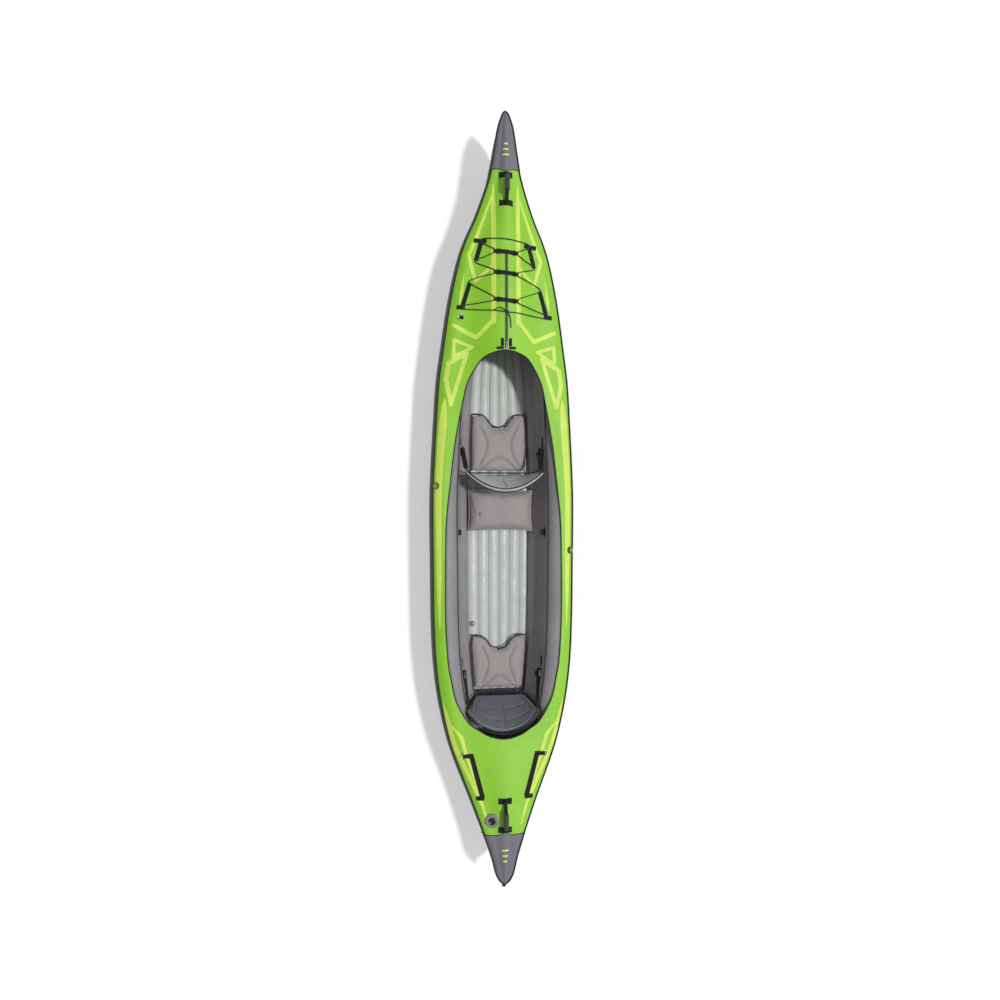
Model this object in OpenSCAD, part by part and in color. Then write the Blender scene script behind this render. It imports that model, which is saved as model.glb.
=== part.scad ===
// Two-seat decked inflatable kayak. +Y is the bow, +X starboard, +Z up; millimetres.
// It stands on its flat bottom at z = 0.

/* [Hull] */
// Thickness of the outer covers
cover_t = 2.5; // [2:0.5:3]
// Largest radius of the upper side tube with its cover on
side_r = 88; // [87:0.5:89]
// Angle of the seam between deck and hull side, above the middle of the upper tube
seam_angle = 35; // [30:1:40]
// Radius of the piping sewn along the seams
piping_r = 3.5; // [3:0.25:4]

/* [Floor] */
// Height of the air floor over its lobes
floor_h = 84; // [80:1:86]
// Depth of the furrows between the lobes
furrow_d = 14; // [8:1:20]

/* [Seats] */
// Thickness of the seat cushions
seat_t = 38; // [30:1:40]
// Height of the backrests along their face
back_len = 300; // [280:5:300]
// Thickness of the backrests
back_t = 28; // [20:1:29]
// How far the backrest's top corners curl forward
back_wrap = 115; // [112:1:118]
// Lean of the front backrest behind upright
front_lean = 18; // [15:1:20]
// Lean of the rear backrest behind upright
rear_lean = 38; // [35:1:38]

/* [Fittings] */
// Width of the webbing straps
web_w = 25; // [20:1:28]
// Radius of the shock cord on the deck
cord_r = 3; // [2.5:0.25:3.5]
// Running clearance on the radius of the small hinge pins
pin_gap = 0.3; // [0.25:0.05:0.5]

/* [Hidden] */

green = [0.54, 0.78, 0.18];
black = [0.09, 0.09, 0.10];
dark = [0.20, 0.20, 0.22];
nose_grey = [0.45, 0.44, 0.48];
seat_grey = [0.56, 0.54, 0.52];
liner_grey = [0.47, 0.46, 0.49];
silver = [0.74, 0.77, 0.74];
metal = [0.78, 0.79, 0.80];

// Clearance between neighbouring pieces of cover
gap = 1;
// Room between a cover's outside and the air tube in it
tube_inset = 5;
// Columns of the station table
BEAM = 1;
KEEL = 2;
SHEER = 3;
RIDGE = 4;
// y, half beam, bottom of the hull, top of the side tube, ridge of the deck
stations = [
    [-2258, 12, 300, 366, 370],
    [-2200, 50, 215, 372, 382],
    [-2100, 80, 145, 370, 386],
    [-1965, 129, 85, 366, 385],
    [-1770, 203, 38, 359, 381],
    [-1540, 294, 10, 352, 373],
    [-1400, 340, 3, 348, 366],
    [-1180, 389, 0, 344, 356],
    [-950, 418, 0, 341, 346],
    [-700, 430, 0, 338, 341],
    [-400, 434, 0, 338, 340],
    [0, 437, 0, 338, 341],
    [230, 429, 0, 339, 348],
    [470, 416, 0, 342, 368],
    [700, 401, 0, 346, 408],
    [875, 378, 0, 351, 428],
    [1175, 333, 2, 361, 430],
    [1410, 282, 10, 370, 430],
    [1530, 242, 18, 375, 429],
    [1650, 188, 32, 380, 427],
    [1765, 144, 50, 385, 424],
    [1905, 98, 80, 390, 418],
    [2045, 71, 130, 393, 412],
    [2190, 44, 220, 394, 406],
    [2285, 8, 320, 388, 392]];
// y and half width of the cockpit opening
rim = [
    [-1401, 0], [-1385, 85], [-1350, 150], [-1300, 215], [-1180, 283], [-1065, 311],
    [-940, 332], [-700, 346], [-400, 347], [-120, 341], [110, 318], [350, 289],
    [585, 245], [703, 215], [820, 144], [862, 75], [876, 0]];
rim_front = 876;
rim_aft = -1401;
// Where the nose covers meet the decks
bow_split = 1940;
stern_split = -1965;
bow_tip = 2285;
stern_tip = -2258;
hull_ys = [stern_split, -1870, -1770, -1660, -1540, rim_aft, -1300, -1180, -950, -700, -400, -120,
           110, 350, 585, 703, 820, rim_front, 980, 1080, 1175, 1290, 1410, 1530, 1650, 1765,
           1860, bow_split];
floor_ys = [for (y = hull_ys) if (y >= -1540 && y <= 1410) y];
liner_ys = [for (y = hull_ys) if (y >= -1540 && y <= 980) y];
front_ys = [for (y = hull_ys) if (y >= rim_front) y];
rear_ys = [for (y = hull_ys) if (y <= rim_aft) y];

// Smooth value of one column of the station table at y
function clamp_row(i) = max(0, min(len(stations) - 1, i));
function row_at(y, i = 0) = i >= len(stations) - 2 || y < stations[i + 1][0] ? i : row_at(y, i + 1);
function slope_at(i, c) =
    let (a = stations[clamp_row(i - 1)], b = stations[clamp_row(i + 1)])
    (b[c] - a[c]) / (b[0] - a[0]);
function hull_at(y, c) =
    let (i = row_at(y), a = stations[i], b = stations[i + 1], h = b[0] - a[0],
         t = max(0, min(1, (y - a[0]) / h)))
    max(0, (2 * pow(t, 3) - 3 * t * t + 1) * a[c] + (pow(t, 3) - 2 * t * t + t) * h * slope_at(i, c)
        + (3 * t * t - 2 * pow(t, 3)) * b[c] + (pow(t, 3) - t * t) * h * slope_at(i + 1, c));

// The two side tubes: radius over the cover and centre, which shrink together towards the ends
function soft_limit(v) = (1 - exp(-2 * v)) / (1 + exp(-2 * v));
function upper_r(y) = side_r * soft_limit(0.5 * hull_at(y, BEAM) / side_r);
function lower_r(y) = 1.045 * upper_r(y);
function upper_c(y) = [hull_at(y, BEAM) - upper_r(y), hull_at(y, SHEER) - upper_r(y)];
function lower_c(y) = [0.8 * upper_c(y)[0], hull_at(y, KEEL) + lower_r(y)];
function upper_air_r(y) = upper_r(y) - tube_inset;
function lower_air_r(y) = min(lower_r(y) - tube_inset, lower_c(y)[0] - 4);
// Angle of the straight stretch of cover between the two tubes
function waist_angle(y) =
    let (d = upper_c(y) - lower_c(y))
    atan2(d[1], d[0]) - acos((lower_r(y) - upper_r(y)) / norm(d));
// Height of the deck at any place
function deck_z(x, y) =
    let (c = upper_c(y), r = upper_r(y), s = hull_at(y, SHEER), a = abs(x))
    a <= c[0] ? s + (hull_at(y, RIDGE) - s) * (1 + cos(180 * a / c[0])) / 2
              : c[1] + sqrt(max(0, r * r - pow(a - c[0], 2)));
function rim_x(y) = min(lookup(y, rim), upper_c(y)[0] - 3);

// Points in a cross-section, [x, z]; t is how far inside the cover's outer face they lie
function arc(c, r, a0, a1, n) = [for (k = [0:n]) let (a = a0 + (a1 - a0) * k / n) c + r * [cos(a), sin(a)]];
function flip_x(pts) = [for (k = [len(pts) - 1:-1:0]) [-pts[k][0], pts[k][1]]];
function reversed(pts) = [for (k = [len(pts) - 1:-1:0]) pts[k]];
function place(pts, y) = [for (p = pts) [p[0], y, p[1]]];
// Degrees that the clearance takes up on an arc of radius r
function gap_deg(r) = gap / r * 180 / PI;
low_angle = -60;
function side_pts(y, t) = concat(
    arc(lower_c(y), lower_r(y) - t, low_angle + gap_deg(lower_r(y)), waist_angle(y), 3),
    arc(upper_c(y), upper_r(y) - t, waist_angle(y), seam_angle - gap_deg(upper_r(y)), 3));
function bottom_half(y, t) = arc(lower_c(y), lower_r(y) - t, -90, low_angle, 2);
function bottom_pts(y, t) =
    concat(flip_x(bottom_half(y, t)), [[0, hull_at(y, KEEL) + t]], bottom_half(y, t));
// From the inner edge at x0 out to the seam, as seen from bow to stern on starboard
function crown(y, t, x0, n) =
    [for (k = [n:-1:1]) let (x = upper_c(y)[0] + (x0 - upper_c(y)[0]) * k / n) [x, deck_z(x, y) - t]];
function shoulder(y, t) = arc(upper_c(y), upper_r(y) - t, 90, seam_angle + gap_deg(upper_r(y)), 3);
function deck_half(y, t, x0, n) = reversed(concat(crown(y, t, x0, n), shoulder(y, t)));
function deck_pts(y, t) =
    let (half = deck_half(y, t, 0, 8), most = [for (k = [0:len(half) - 2]) half[k]])
    concat(half, flip_x(most));
function nose_half(y, t) = concat(
    arc(lower_c(y), lower_r(y) - t, -90, waist_angle(y), 3),
    arc(upper_c(y), upper_r(y) - t, waist_angle(y), 90, 4),
    [for (k = [1:2]) let (x = upper_c(y)[0] * (1 - k / 3)) [x, deck_z(x, y) - t]]);
function nose_pts(y, t) = concat(
    [[0, hull_at(y, KEEL) + t]], nose_half(y, t), [[0, hull_at(y, RIDGE) - t]], flip_x(nose_half(y, t)));
// The liner lies on the inboard side of the two tubes
liner_near = 2;
liner_far = 3.6;
function liner_pts(y, t) = concat(
    reversed(arc(lower_c(y), lower_air_r(y) + t, 118, 196, 5)),
    reversed(arc(upper_c(y), upper_air_r(y) + t, 108, 196, 6)));
function liner_x(y) = upper_c(y)[0] - upper_air_r(y) - liner_far;

// Closed solid through rings of equal length; sheet rings hold one face and then the other, reversed.
// The two faces of a sheet are split along matching diagonals, so that it keeps its thickness.
module loft(rings, sheet = false) {
    n = len(rings[0]);
    m = len(rings);
    walls = [for (i = [0:m - 2], j = [0:n - 1])
        let (a = i * n + j, b = i * n + (j + 1) % n)
        each sheet && j >= n / 2 ? [[a, b, a + n], [b, b + n, a + n]] : [[a, b, b + n], [a, b + n, a + n]]];
    last = (m - 1) * n;
    fans = [for (j = [1:n - 2]) each [[0, j + 1, j], [last, last + j, last + j + 1]]];
    strips = [for (j = [0:n / 2 - 2]) let (q = n - 2 - j, p = n - 1 - j)
        each [[j, p, q], [j, q, j + 1],
              [last + j, last + j + 1, last + q], [last + j, last + q, last + p]]];
    polyhedron([for (r = rings) each r], concat(walls, sheet ? strips : fans), convexity = 8);
}

// Closed ring of tube through rings, the last joined to the first
module loft_ring(rings) {
    n = len(rings[0]);
    m = len(rings);
    walls = [for (i = [0:m - 1], j = [0:n - 1])
        let (a = i * n + j, b = i * n + (j + 1) % n,
             c = (i + 1) % m * n + j, d = (i + 1) % m * n + (j + 1) % n)
        each [[a, b, d], [a, d, c]]];
    polyhedron([for (r = rings) each r], walls, convexity = 8);
}

// Hollow cap: outer and inner rings from the open end to the tip
module cap_shell(outer, inner) {
    n = len(outer[0]);
    m = len(outer);
    half = n * m;
    walls = [for (i = [0:m - 2], j = [0:n - 1])
        let (a = i * n + j, b = i * n + (j + 1) % n)
        each [[a, b, b + n], [a, b + n, a + n],
              [half + a, half + b + n, half + b], [half + a, half + a + n, half + b + n]]];
    last = (m - 1) * n;
    tips = [for (j = [1:n - 2])
        each [[last, last + j, last + j + 1], [half + last, half + last + j + 1, half + last + j]]];
    mouth = [for (j = [0:n - 1]) let (b = (j + 1) % n) each [[j, half + j, half + b], [j, half + b, b]]];
    points = concat([for (r = outer) each r], [for (r = inner) each r]);
    polyhedron(points, concat(walls, tips, mouth), convexity = 8);
}

function unit(v) = v / norm(v);
function heading(path, k) = unit(path[min(k + 1, len(path) - 1)] - path[max(k - 1, 0)]);
// Tube of radius r and n sides along a path; closed paths come back to their start
function tube_ring(p, dir, r, n) =
    let (side = unit(cross(dir, [0, 0, 1])), up = cross(side, dir))
    [for (k = [0:n - 1]) p + r * (cos(360 * k / n) * side + sin(360 * k / n) * up)];
module tube_along(path, r, n = 8) {
    loft([for (k = [0:len(path) - 1]) tube_ring(path[k], heading(path, k), r, n)]);
}
module tube_round(path, r, n = 8) {
    m = len(path);
    loft_ring([for (k = [0:m - 1])
        tube_ring(path[k], unit(path[(k + 1) % m] - path[(k + m - 1) % m]), r, n)]);
}

// Strip of webbing laid on the deck along [x, y] points, its lower face lift above the cover
module deck_band(path, half_w, lift, t) {
    function across(k) = let (d = heading(path, k)) half_w * [d[1], -d[0]];
    function on_deck(p, up) = [p[0], p[1], deck_z(p[0], p[1]) + up];
    loft([for (k = [0:len(path) - 1]) let (l = path[k] - across(k), r = path[k] + across(k))
        [on_deck(l, lift), on_deck(r, lift), on_deck(r, lift + t), on_deck(l, lift + t)]]);
}
function along(a, b, n) = [for (k = [0:n]) a + (b - a) * k / n];

// Flat bar from a to b, standing on edge, with its width w upright
module ribbon(a, b, w, t, from = 0, to = 1) {
    d = b - a;
    span = norm(d);
    translate(a)
        rotate([0, -asin(d[2] / span), atan2(d[1], d[0])])
            translate([from * span, -t / 2, -w / 2])
                cube([(to - from) * span, t, w]);
}

// ---------------------------------------------------------------- hull covers
module bottom_panel() {
    color(dark)
        loft([for (y = hull_ys)
            place(concat(bottom_pts(y, 0), reversed(bottom_pts(y, cover_t))), y)], true);
}

module side_panel() {
    color(dark)
        loft([for (y = hull_ys) place(concat(side_pts(y, 0), reversed(side_pts(y, cover_t))), y)], true);
}
module side_panel_port() mirror([1, 0, 0]) side_panel();
module side_panel_starboard() side_panel();

module closed_deck(ys) {
    color(green)
        loft([for (y = ys) place(concat(deck_pts(y, 0), reversed(deck_pts(y, cover_t))), y)], true);
}
module front_deck() {
    closed_deck([for (y = front_ys) y == rim_front ? y + gap : y]);
}
module rear_deck() {
    difference() {
        closed_deck([for (y = rear_ys) y == rim_aft ? y - gap : y]);
        at_stern_valve() translate([0, 0, -valve_depth]) cylinder(r = valve_hole_r, h = 2 * valve_depth);
    }
}

module side_deck() {
    color(green)
        loft([for (row = rim) let (y = row[0])
            place(concat(deck_half(y, 0, rim_x(y), 2),
                         reversed(deck_half(y, cover_t, rim_x(y), 2))), y)], true);
}
module side_deck_port() mirror([1, 0, 0]) side_deck();
module side_deck_starboard() side_deck();

module nose_cover(ys, side) {
    tip = ys[len(ys) - 1];
    color(nose_grey)
        cap_shell([for (y = ys) place(nose_pts(side * y, 0), y)],
                  [for (y = ys) let (yi = y == tip ? tip - 3 * cover_t : y)
                      place(nose_pts(side * yi, cover_t), yi)]);
}
module bow_nose_cover() nose_cover([bow_split + gap, 2045, 2120, 2190, 2245, bow_tip], 1);
module stern_nose_cover() {
    mirror([0, 1, 0])
        nose_cover([-stern_split + gap, 2030, 2100, 2165, 2215, -stern_tip], -1);
    color(nose_grey)
        translate([-tail_tab[0] / 2, -bow_tip, tail_tab_z])
            cube([tail_tab[0], bow_tip + stern_tip - 0.2, tail_tab[1]]);
}
// Pull tab at the stern tip: width and height
tail_tab = [24, 18];
tail_tab_z = 325;

// ---------------------------------------------------------------- piping
rim_lift = piping_r + 0.6;
function rim_side(side) = [for (row = rim) if (row[1] > 0)
    [side * rim_x(row[0]), row[0], deck_z(rim_x(row[0]), row[0]) + rim_lift]];
module cockpit_piping() {
    bow_end = [[0, rim_front, deck_z(0, rim_front) + rim_lift]];
    aft_end = [[0, rim_aft, deck_z(0, rim_aft) + rim_lift]];
    color(black)
        tube_round(concat(aft_end, rim_side(1), bow_end, reversed(rim_side(-1))), piping_r);
}

module gunwale_side() {
    color(black)
        tube_along([for (y = hull_ys)
            let (p = upper_c(y) + (upper_r(y) + piping_r + 1.6) * [cos(seam_angle), sin(seam_angle)])
            [p[0], y, p[1]]], piping_r, 6);
}
module gunwale_piping() {
    gunwale_side();
    mirror([1, 0, 0]) gunwale_side();
}

// ---------------------------------------------------------------- inside the hull
module liner() {
    color(liner_grey)
        loft([for (y = liner_ys)
            place(concat(liner_pts(y, liner_near), reversed(liner_pts(y, liner_far))), y)], true);
}
module liner_port() mirror([1, 0, 0]) liner();
module liner_starboard() liner();

tube_sides = 10;
end_share = 0.45;
function tube_share(y) = y == stern_split || y == bow_split ? end_share : 1;
module air_tube(upper) {
    color(silver)
        loft([for (y = hull_ys)
            let (c = upper ? upper_c(y) : lower_c(y),
                 r = (upper ? upper_air_r(y) : lower_air_r(y)) * tube_share(y))
            place(reversed(arc(c, r, 360, 360 / tube_sides, tube_sides - 1)), y)]);
}
module upper_tube_port() {
    difference() {
        mirror([1, 0, 0]) air_tube(true);
        at_stern_valve() translate([0, 0, -valve_depth]) cylinder(r = valve_hole_r, h = 2 * valve_depth);
    }
}
module upper_tube_starboard() air_tube(true);
module lower_tube_port() mirror([1, 0, 0]) air_tube(false);
module lower_tube_starboard() air_tube(false);

lobes = 6;
floor_lift = cover_t + 1.5;
function floor_half(y) = lower_c(y)[0] - lower_air_r(y) + 2;
// One half lobe after another from edge to edge: x as a share of the half width, and the two faces
function floor_face(y, top) = [for (k = [0:2 * lobes])
    let (x = (k / lobes - 1) * floor_half(y), base = hull_at(y, KEEL) + floor_lift,
         edge = k == 0 || k == 2 * lobes, crest = k % 2 == 1)
    [x, base + (top ? (edge ? 0.6 * floor_h : crest ? floor_h : floor_h - furrow_d)
                    : (edge ? 0.4 * floor_h : 0))]];
module air_floor() {
    color(silver)
        loft([for (y = floor_ys)
            place(concat(floor_face(y, false), reversed(floor_face(y, true))), y)], true);
}
floor_top = floor_lift + floor_h;

// Crosswise air tubes that hold the decks up
module deck_lift(y, half_w, r) {
    color(silver)
        tube_along([for (x = [-half_w:half_w / 4:half_w]) [x, y, deck_z(x, y) - cover_t - r - 5]], r, 12);
}
module front_deck_lift() deck_lift(990, 160, 30);
module rear_deck_lift() deck_lift(-1570, 80, 22);

// Flat bars bent to the stems, standing on the centreline inside the noses
frame_t = 5;
module stem_bar(ys, side) {
    low = [for (y = ys) [y, hull_at(side * y, KEEL) + 14]];
    high = [for (y = ys) [y, hull_at(side * y, KEEL) + 34]];
    color(metal)
        rotate([90, 0, 90])
            translate([0, 0, -frame_t / 2])
                linear_extrude(frame_t)
                    polygon(concat(low, reversed(high)));
}
module bow_frame() stem_bar([1765, 1860, bow_split, 2045, 2120, 2190, 2230], 1);
module stern_frame() mirror([0, 1, 0]) stem_bar([1770, 1870, 1965, 2030, 2100, 2165, 2200], -1);

// ---------------------------------------------------------------- keel plates and fin
plate_t = 4;
plate_half = 26;
function keel_line(ys, side, drop) = [for (y = ys) [y, hull_at(side * y, KEEL) - drop]];
module side_plate(pts, half_w) {
    rotate([90, 0, 90])
        translate([0, 0, -half_w])
            linear_extrude(2 * half_w)
                polygon(pts);
}
module keel_plate(ys, side) {
    color(black)
        side_plate(concat(keel_line(ys, side, gap), reversed(keel_line(ys, side, gap + plate_t))),
                   plate_half);
}
bow_plate_ys = [1530, 1650, 1765, 1860, bow_split];
stern_plate_ys = [1660, 1770, 1870, 1965];
module bow_keel_plate() keel_plate(bow_plate_ys, 1);
module stern_keel_plate() mirror([0, 1, 0]) keel_plate(stern_plate_ys, -1);
fin_t = 8;
module tracking_fin() {
    top = keel_line([1770, 1870, 1965], -1, gap + plate_t);
    color(black)
        mirror([0, 1, 0])
            side_plate(concat(top, [[1990, 40], [1975, 16], [1940, 8], [1850, 8]]), fin_t / 2);
}

// ---------------------------------------------------------------- seats
module seat_base(y_front, y_rear, half_front, half_rear) {
    edge = [[half_rear, y_rear], [half_front, y_front - 60], [half_front - 8, y_front],
            [115, y_front - 2], [75, y_front - 25], [40, y_front - 65], [0, y_front - 82]];
    left = [for (k = [len(edge) - 2:-1:0]) [-edge[k][0], edge[k][1]]];
    color(seat_grey)
        translate([0, 0, floor_top + 2])
            linear_extrude(seat_t)
                polygon(concat(edge, left));
}
front_base = [507, 172];
rear_base = [-830, -1168];
module front_seat_base() seat_base(front_base[0], front_base[1], 174, 178);
module rear_seat_base() seat_base(rear_base[0], rear_base[1], 170, 148);

// Backrest panel standing on its hinge line at the origin: width and curl grow with height
hinge_z = floor_top + seat_t + 8;
hinge_back = 7;
foot_gap = 6;
back_rows = 6;
back_cols = 6;
function row_height(r) = foot_gap + (back_len - foot_gap) * r / back_rows;
function back_half(s, low, high) = low + (high - low) * pow(s / back_len, 0.8);
corner_drop = 26;
// Height s up the panel, share u of its half width; the curl is level with the ground at the panel's lean
function back_point(s, u, low, high, behind, lean) =
    let (curl = back_wrap * s / back_len * pow(u, 2), drop = corner_drop * s / back_len * pow(u, 4))
    [u * back_half(s, low, high), curl * cos(lean) - behind, s - drop - curl * sin(lean)];
function in_hull(p, y, lean) =
    [p[0], y - hinge_back + p[1] * cos(lean) - p[2] * sin(lean),
     hinge_z + p[1] * sin(lean) + p[2] * cos(lean)];
module backrest(low, high, lean) {
    rings = [for (c = [0:back_cols]) let (u = 1 - 2 * c / back_cols)
        concat([for (r = [0:back_rows]) back_point(row_height(r), u, low, high, 0, lean)],
               [for (r = [back_rows:-1:0]) back_point(row_height(r), u, low, high, back_t, lean)])];
    color(seat_grey)
        loft(rings, true);
}
module at_hinge(y, lean) translate([0, y - hinge_back, hinge_z]) rotate([lean, 0, 0]) children();
// Half width at the foot and at the top
front_back_half = [150, 232];
rear_back_half = [138, 222];
module front_seat_back()
    at_hinge(front_base[1], front_lean) backrest(front_back_half[0], front_back_half[1], front_lean);
module rear_seat_back()
    at_hinge(rear_base[1], rear_lean) backrest(rear_back_half[0], rear_back_half[1], rear_lean);

// Straps from the backrest's edges forward to the anchors on the liner
front_anchor = [239, 318, 246];
rear_anchor = [230, -1012, 246];
strap_s = 0.72 * back_len;
strap_off = [2.6, 4, 0];
function strap_end(half, y, lean) =
    strap_off + in_hull(back_point(strap_s, 1, half[0], half[1], 0, lean), y, lean);
front_strap_end = strap_end(front_back_half, front_base[1], front_lean);
rear_strap_end = strap_end(rear_back_half, rear_base[1], rear_lean);
function mirrored(p) = [-p[0], p[1], p[2]];
module strap(a, b) color(black) ribbon(a, b, web_w, 1.6);
module front_strap_port() strap(mirrored(front_anchor), mirrored(front_strap_end));
module front_strap_starboard() strap(front_anchor, front_strap_end);
module rear_strap_port() strap(mirrored(rear_anchor), mirrored(rear_strap_end));
module rear_strap_starboard() strap(rear_anchor, rear_strap_end);

// Webbing patches on the liner that carry the straps and buckles
anchor_len = 60;
spare_y = -190;
module anchor_patch(y) {
    x = min(liner_x(y - anchor_len / 2), liner_x(y + anchor_len / 2)) - 1.7;
    translate([x - 3, y - anchor_len / 2, 232])
        cube([3, anchor_len, 30]);
}
module strap_anchors() {
    for (side = [0, 1], y = [front_anchor[1] + 38, rear_anchor[1] + 38, spare_y])
        color(black) mirror([side, 0, 0]) anchor_patch(y);
}
module buckle(a, b) {
    color(black)
        difference() {
            ribbon(a, b, web_w + 9, 9, 0.06, 0.22);
            ribbon(a, b, web_w + 2, 4, 0, 0.3);
        }
}
module strap_buckles() {
    buckle(front_anchor, front_strap_end);
    buckle(mirrored(front_anchor), mirrored(front_strap_end));
    buckle(rear_anchor, rear_strap_end);
    buckle(mirrored(rear_anchor), mirrored(rear_strap_end));
}
module spare_buckles() {
    x = liner_x(spare_y) - 14;
    for (side = [0, 1])
        color(black) mirror([side, 0, 0]) translate([x - 9, spare_y - 17, 200]) cube([9, 34, 48]);
}

// ---------------------------------------------------------------- footrest
cushion = [205, 122, 62];
cushion_y = -70;
cushion_z = floor_top + cushion[2] + 2;
module footrest_cushion() {
    color(seat_grey)
        translate([0, cushion_y, cushion_z])
            hull() {
                for (sx = [-1, 1], sy = [-1, 1])
                    translate([sx * (cushion[0] - 12), sy * (cushion[1] - 12), 0]) sphere(r = 12, $fn = 10);
                for (sx = [-1, 1], sy = [-1, 1])
                    translate([sx * cushion[0] * 0.5, sy * cushion[1] * 0.35, 0])
                        sphere(r = cushion[2], $fn = 14);
            }
}
module footrest_valve() {
    color(dark)
        translate([-120, cushion_y - 20, cushion_z + cushion[2] + 0.5])
            cylinder(r = 13, h = 8);
}

// ---------------------------------------------------------------- carry handles
grip_r = 11;
grip_rise = 22;
grip_half = 46;
axle_r = 3.5;
lug_r = 7;
// Inner mount, outer mount and middle of the grip, as distances from midships
bow_handle = [1734, 1902, 1842];
stern_handle = [1762, 1930, 1870];
bow_axle_z = 440;
stern_axle_z = 400;
module handle_mounts(h, z) {
    for (y = [h[0], h[1]])
        color(black)
            difference() {
                translate([-lug_r, y - 6, z - 10]) cube([2 * lug_r, 12, 18]);
                translate([0, y - 10, z]) rotate([-90, 0, 0])
                    cylinder(r = axle_r + pin_gap, h = 20, $fn = 24);
            }
}
module handle_patches(h, side) {
    for (y = [h[0], h[1]])
        color(black)
            deck_band(along([-40, side * y], [40, side * y], 6), 18, 1.2, 2.5);
}
module handle_grip(h, z) {
    color(dark)
        translate([0, 0, z]) {
            translate([0, h[2] - grip_half, grip_rise]) rotate([-90, 0, 0])
                cylinder(r = grip_r, h = 2 * grip_half);
            for (y = [h[2] - grip_half, h[2] + grip_half - 8])
                translate([-5, y, -axle_r]) cube([10, 8, grip_rise]);
            translate([0, h[2] + grip_half - 8, 0]) rotate([-90, 0, 0])
                cylinder(r = axle_r, h = h[1] + 6 - h[2] - grip_half + 8, $fn = 24);
            translate([0, h[0] - 6, 0]) rotate([-90, 0, 0])
                cylinder(r = axle_r, h = h[2] - grip_half + 14 - h[0], $fn = 24);
        }
}
module bow_handle_mounts() {
    handle_mounts(bow_handle, bow_axle_z);
    handle_patches(bow_handle, 1);
}
module bow_handle_grip() handle_grip(bow_handle, bow_axle_z);
module stern_handle_mounts() {
    mirror([0, 1, 0]) handle_mounts(stern_handle, stern_axle_z);
    handle_patches(stern_handle, -1);
}
module stern_handle_grip() mirror([0, 1, 0]) handle_grip(stern_handle, stern_axle_z);

// ---------------------------------------------------------------- deck lacing
strip_ys = [1446, 1324, 1166];
lacing_lift = cord_r + 4.6;
// From the knot out along starboard to the bow; port is its mirror
lacing_half = [
    [60, 1094], [130, 1092], [200, 1088], [254, 1083], [256, 1092],
    [190, 1118], [120, 1144], [67, 1166], [74, 1178],
    [130, 1222], [206, 1274], [204, 1284],
    [140, 1304], [67, 1324], [74, 1334],
    [120, 1350], [172, 1362], [168, 1370],
    [120, 1410], [67, 1446], [74, 1458],
    [110, 1492], [140, 1522], [132, 1526], [70, 1532]];
function over_deck(p, lift) = [p[0], p[1], deck_z(p[0], p[1]) + lift];
module deck_lacing() {
    right = [for (p = lacing_half) over_deck(p, lacing_lift)];
    left = [for (p = right) mirrored(p)];
    color(black)
        tube_along(concat([over_deck([12, 1096], lacing_lift)], right, [over_deck([0, 1533], lacing_lift)],
                          reversed(left), [over_deck([-12, 1096], lacing_lift)]), cord_r, 8);
}
tail_port = [[-14, 1108], [-26, 1116], [-40, 1119], [-54, 1114], [-66, 1106], [-74, 1100]];
tail_starboard = [[14, 1084], [19, 1070], [23, 1054], [25, 1038], [24, 1022], [28, 1008]];
module lacing_tails() {
    for (tail = [tail_port, tail_starboard])
        color(black) tube_along([for (p = tail) over_deck(p, lacing_lift - 1)], cord_r, 8);
}
module lacing_webbing() {
    for (y = strip_ys)
        color(black) deck_band(along([-58, y], [58, y], 6), 15, 3, 2.5);
    for (s = [-1, 1]) {
        color(black) deck_band(along([s * 146, 1506], [s * 170, 1384], 3), 14, 1.2, 2.5);
        color(black) deck_band(along([s * 211, 1256], [s * 252, 1106], 3), 14, 1.2, 2.5);
    }
}
module stern_webbing() {
    for (s = [-1, 1])
        color(black) deck_band(along([s * 211, -1503], [s * 133, -1748], 4), 14, 1.2, 2.5);
}

// ---------------------------------------------------------------- rings
// A D ring turns on its straight bar in a webbing tab; the ring's own frame has the bar on Y
ring_r = 17;
wire_r = 2.2;
tab_len = 16;
// x and y of each bar's middle, and the ring's slope down from level
bow_ring_at = [-262, 1072];
stern_ring_at = [240, -1498];
bow_ring_slope = 14;
stern_ring_slope = 14;
function bar_z(p) = deck_z(p[0], p[1]) + 5.5;
module ring(side, slope) {
    color(metal)
        rotate([0, side * slope, 0])
            mirror([side < 0 ? 1 : 0, 0, 0]) {
                rotate([90, 0, 0]) translate([0, 0, -ring_r])
                    cylinder(r = wire_r, h = 2 * ring_r, $fn = 24);
                rotate([0, 0, -90])
                    rotate_extrude(angle = 180, $fn = 48)
                        translate([ring_r, 0]) circle(r = wire_r, $fn = 24);
            }
}
module ring_tab(side) {
    color(black)
        difference() {
            translate([side > 0 ? -10 : -4, -tab_len / 2, -4]) cube([14, tab_len, 8]);
            rotate([90, 0, 0]) translate([0, 0, -tab_len])
                cylinder(r = wire_r + pin_gap, h = 2 * tab_len, $fn = 24);
        }
}
module at_point(p) translate([p[0], p[1], bar_z(p)]) children();
module ring_tabs() {
    at_point(bow_ring_at) ring_tab(-1);
    at_point(stern_ring_at) ring_tab(1);
    at_point([-stern_ring_at[0], stern_ring_at[1]]) ring_tab(-1);
}
module bow_ring() at_point(bow_ring_at) ring(-1, bow_ring_slope);
module stern_ring_starboard() at_point(stern_ring_at) ring(1, stern_ring_slope);
module stern_ring_port() at_point([-stern_ring_at[0], stern_ring_at[1]]) ring(-1, stern_ring_slope);

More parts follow.
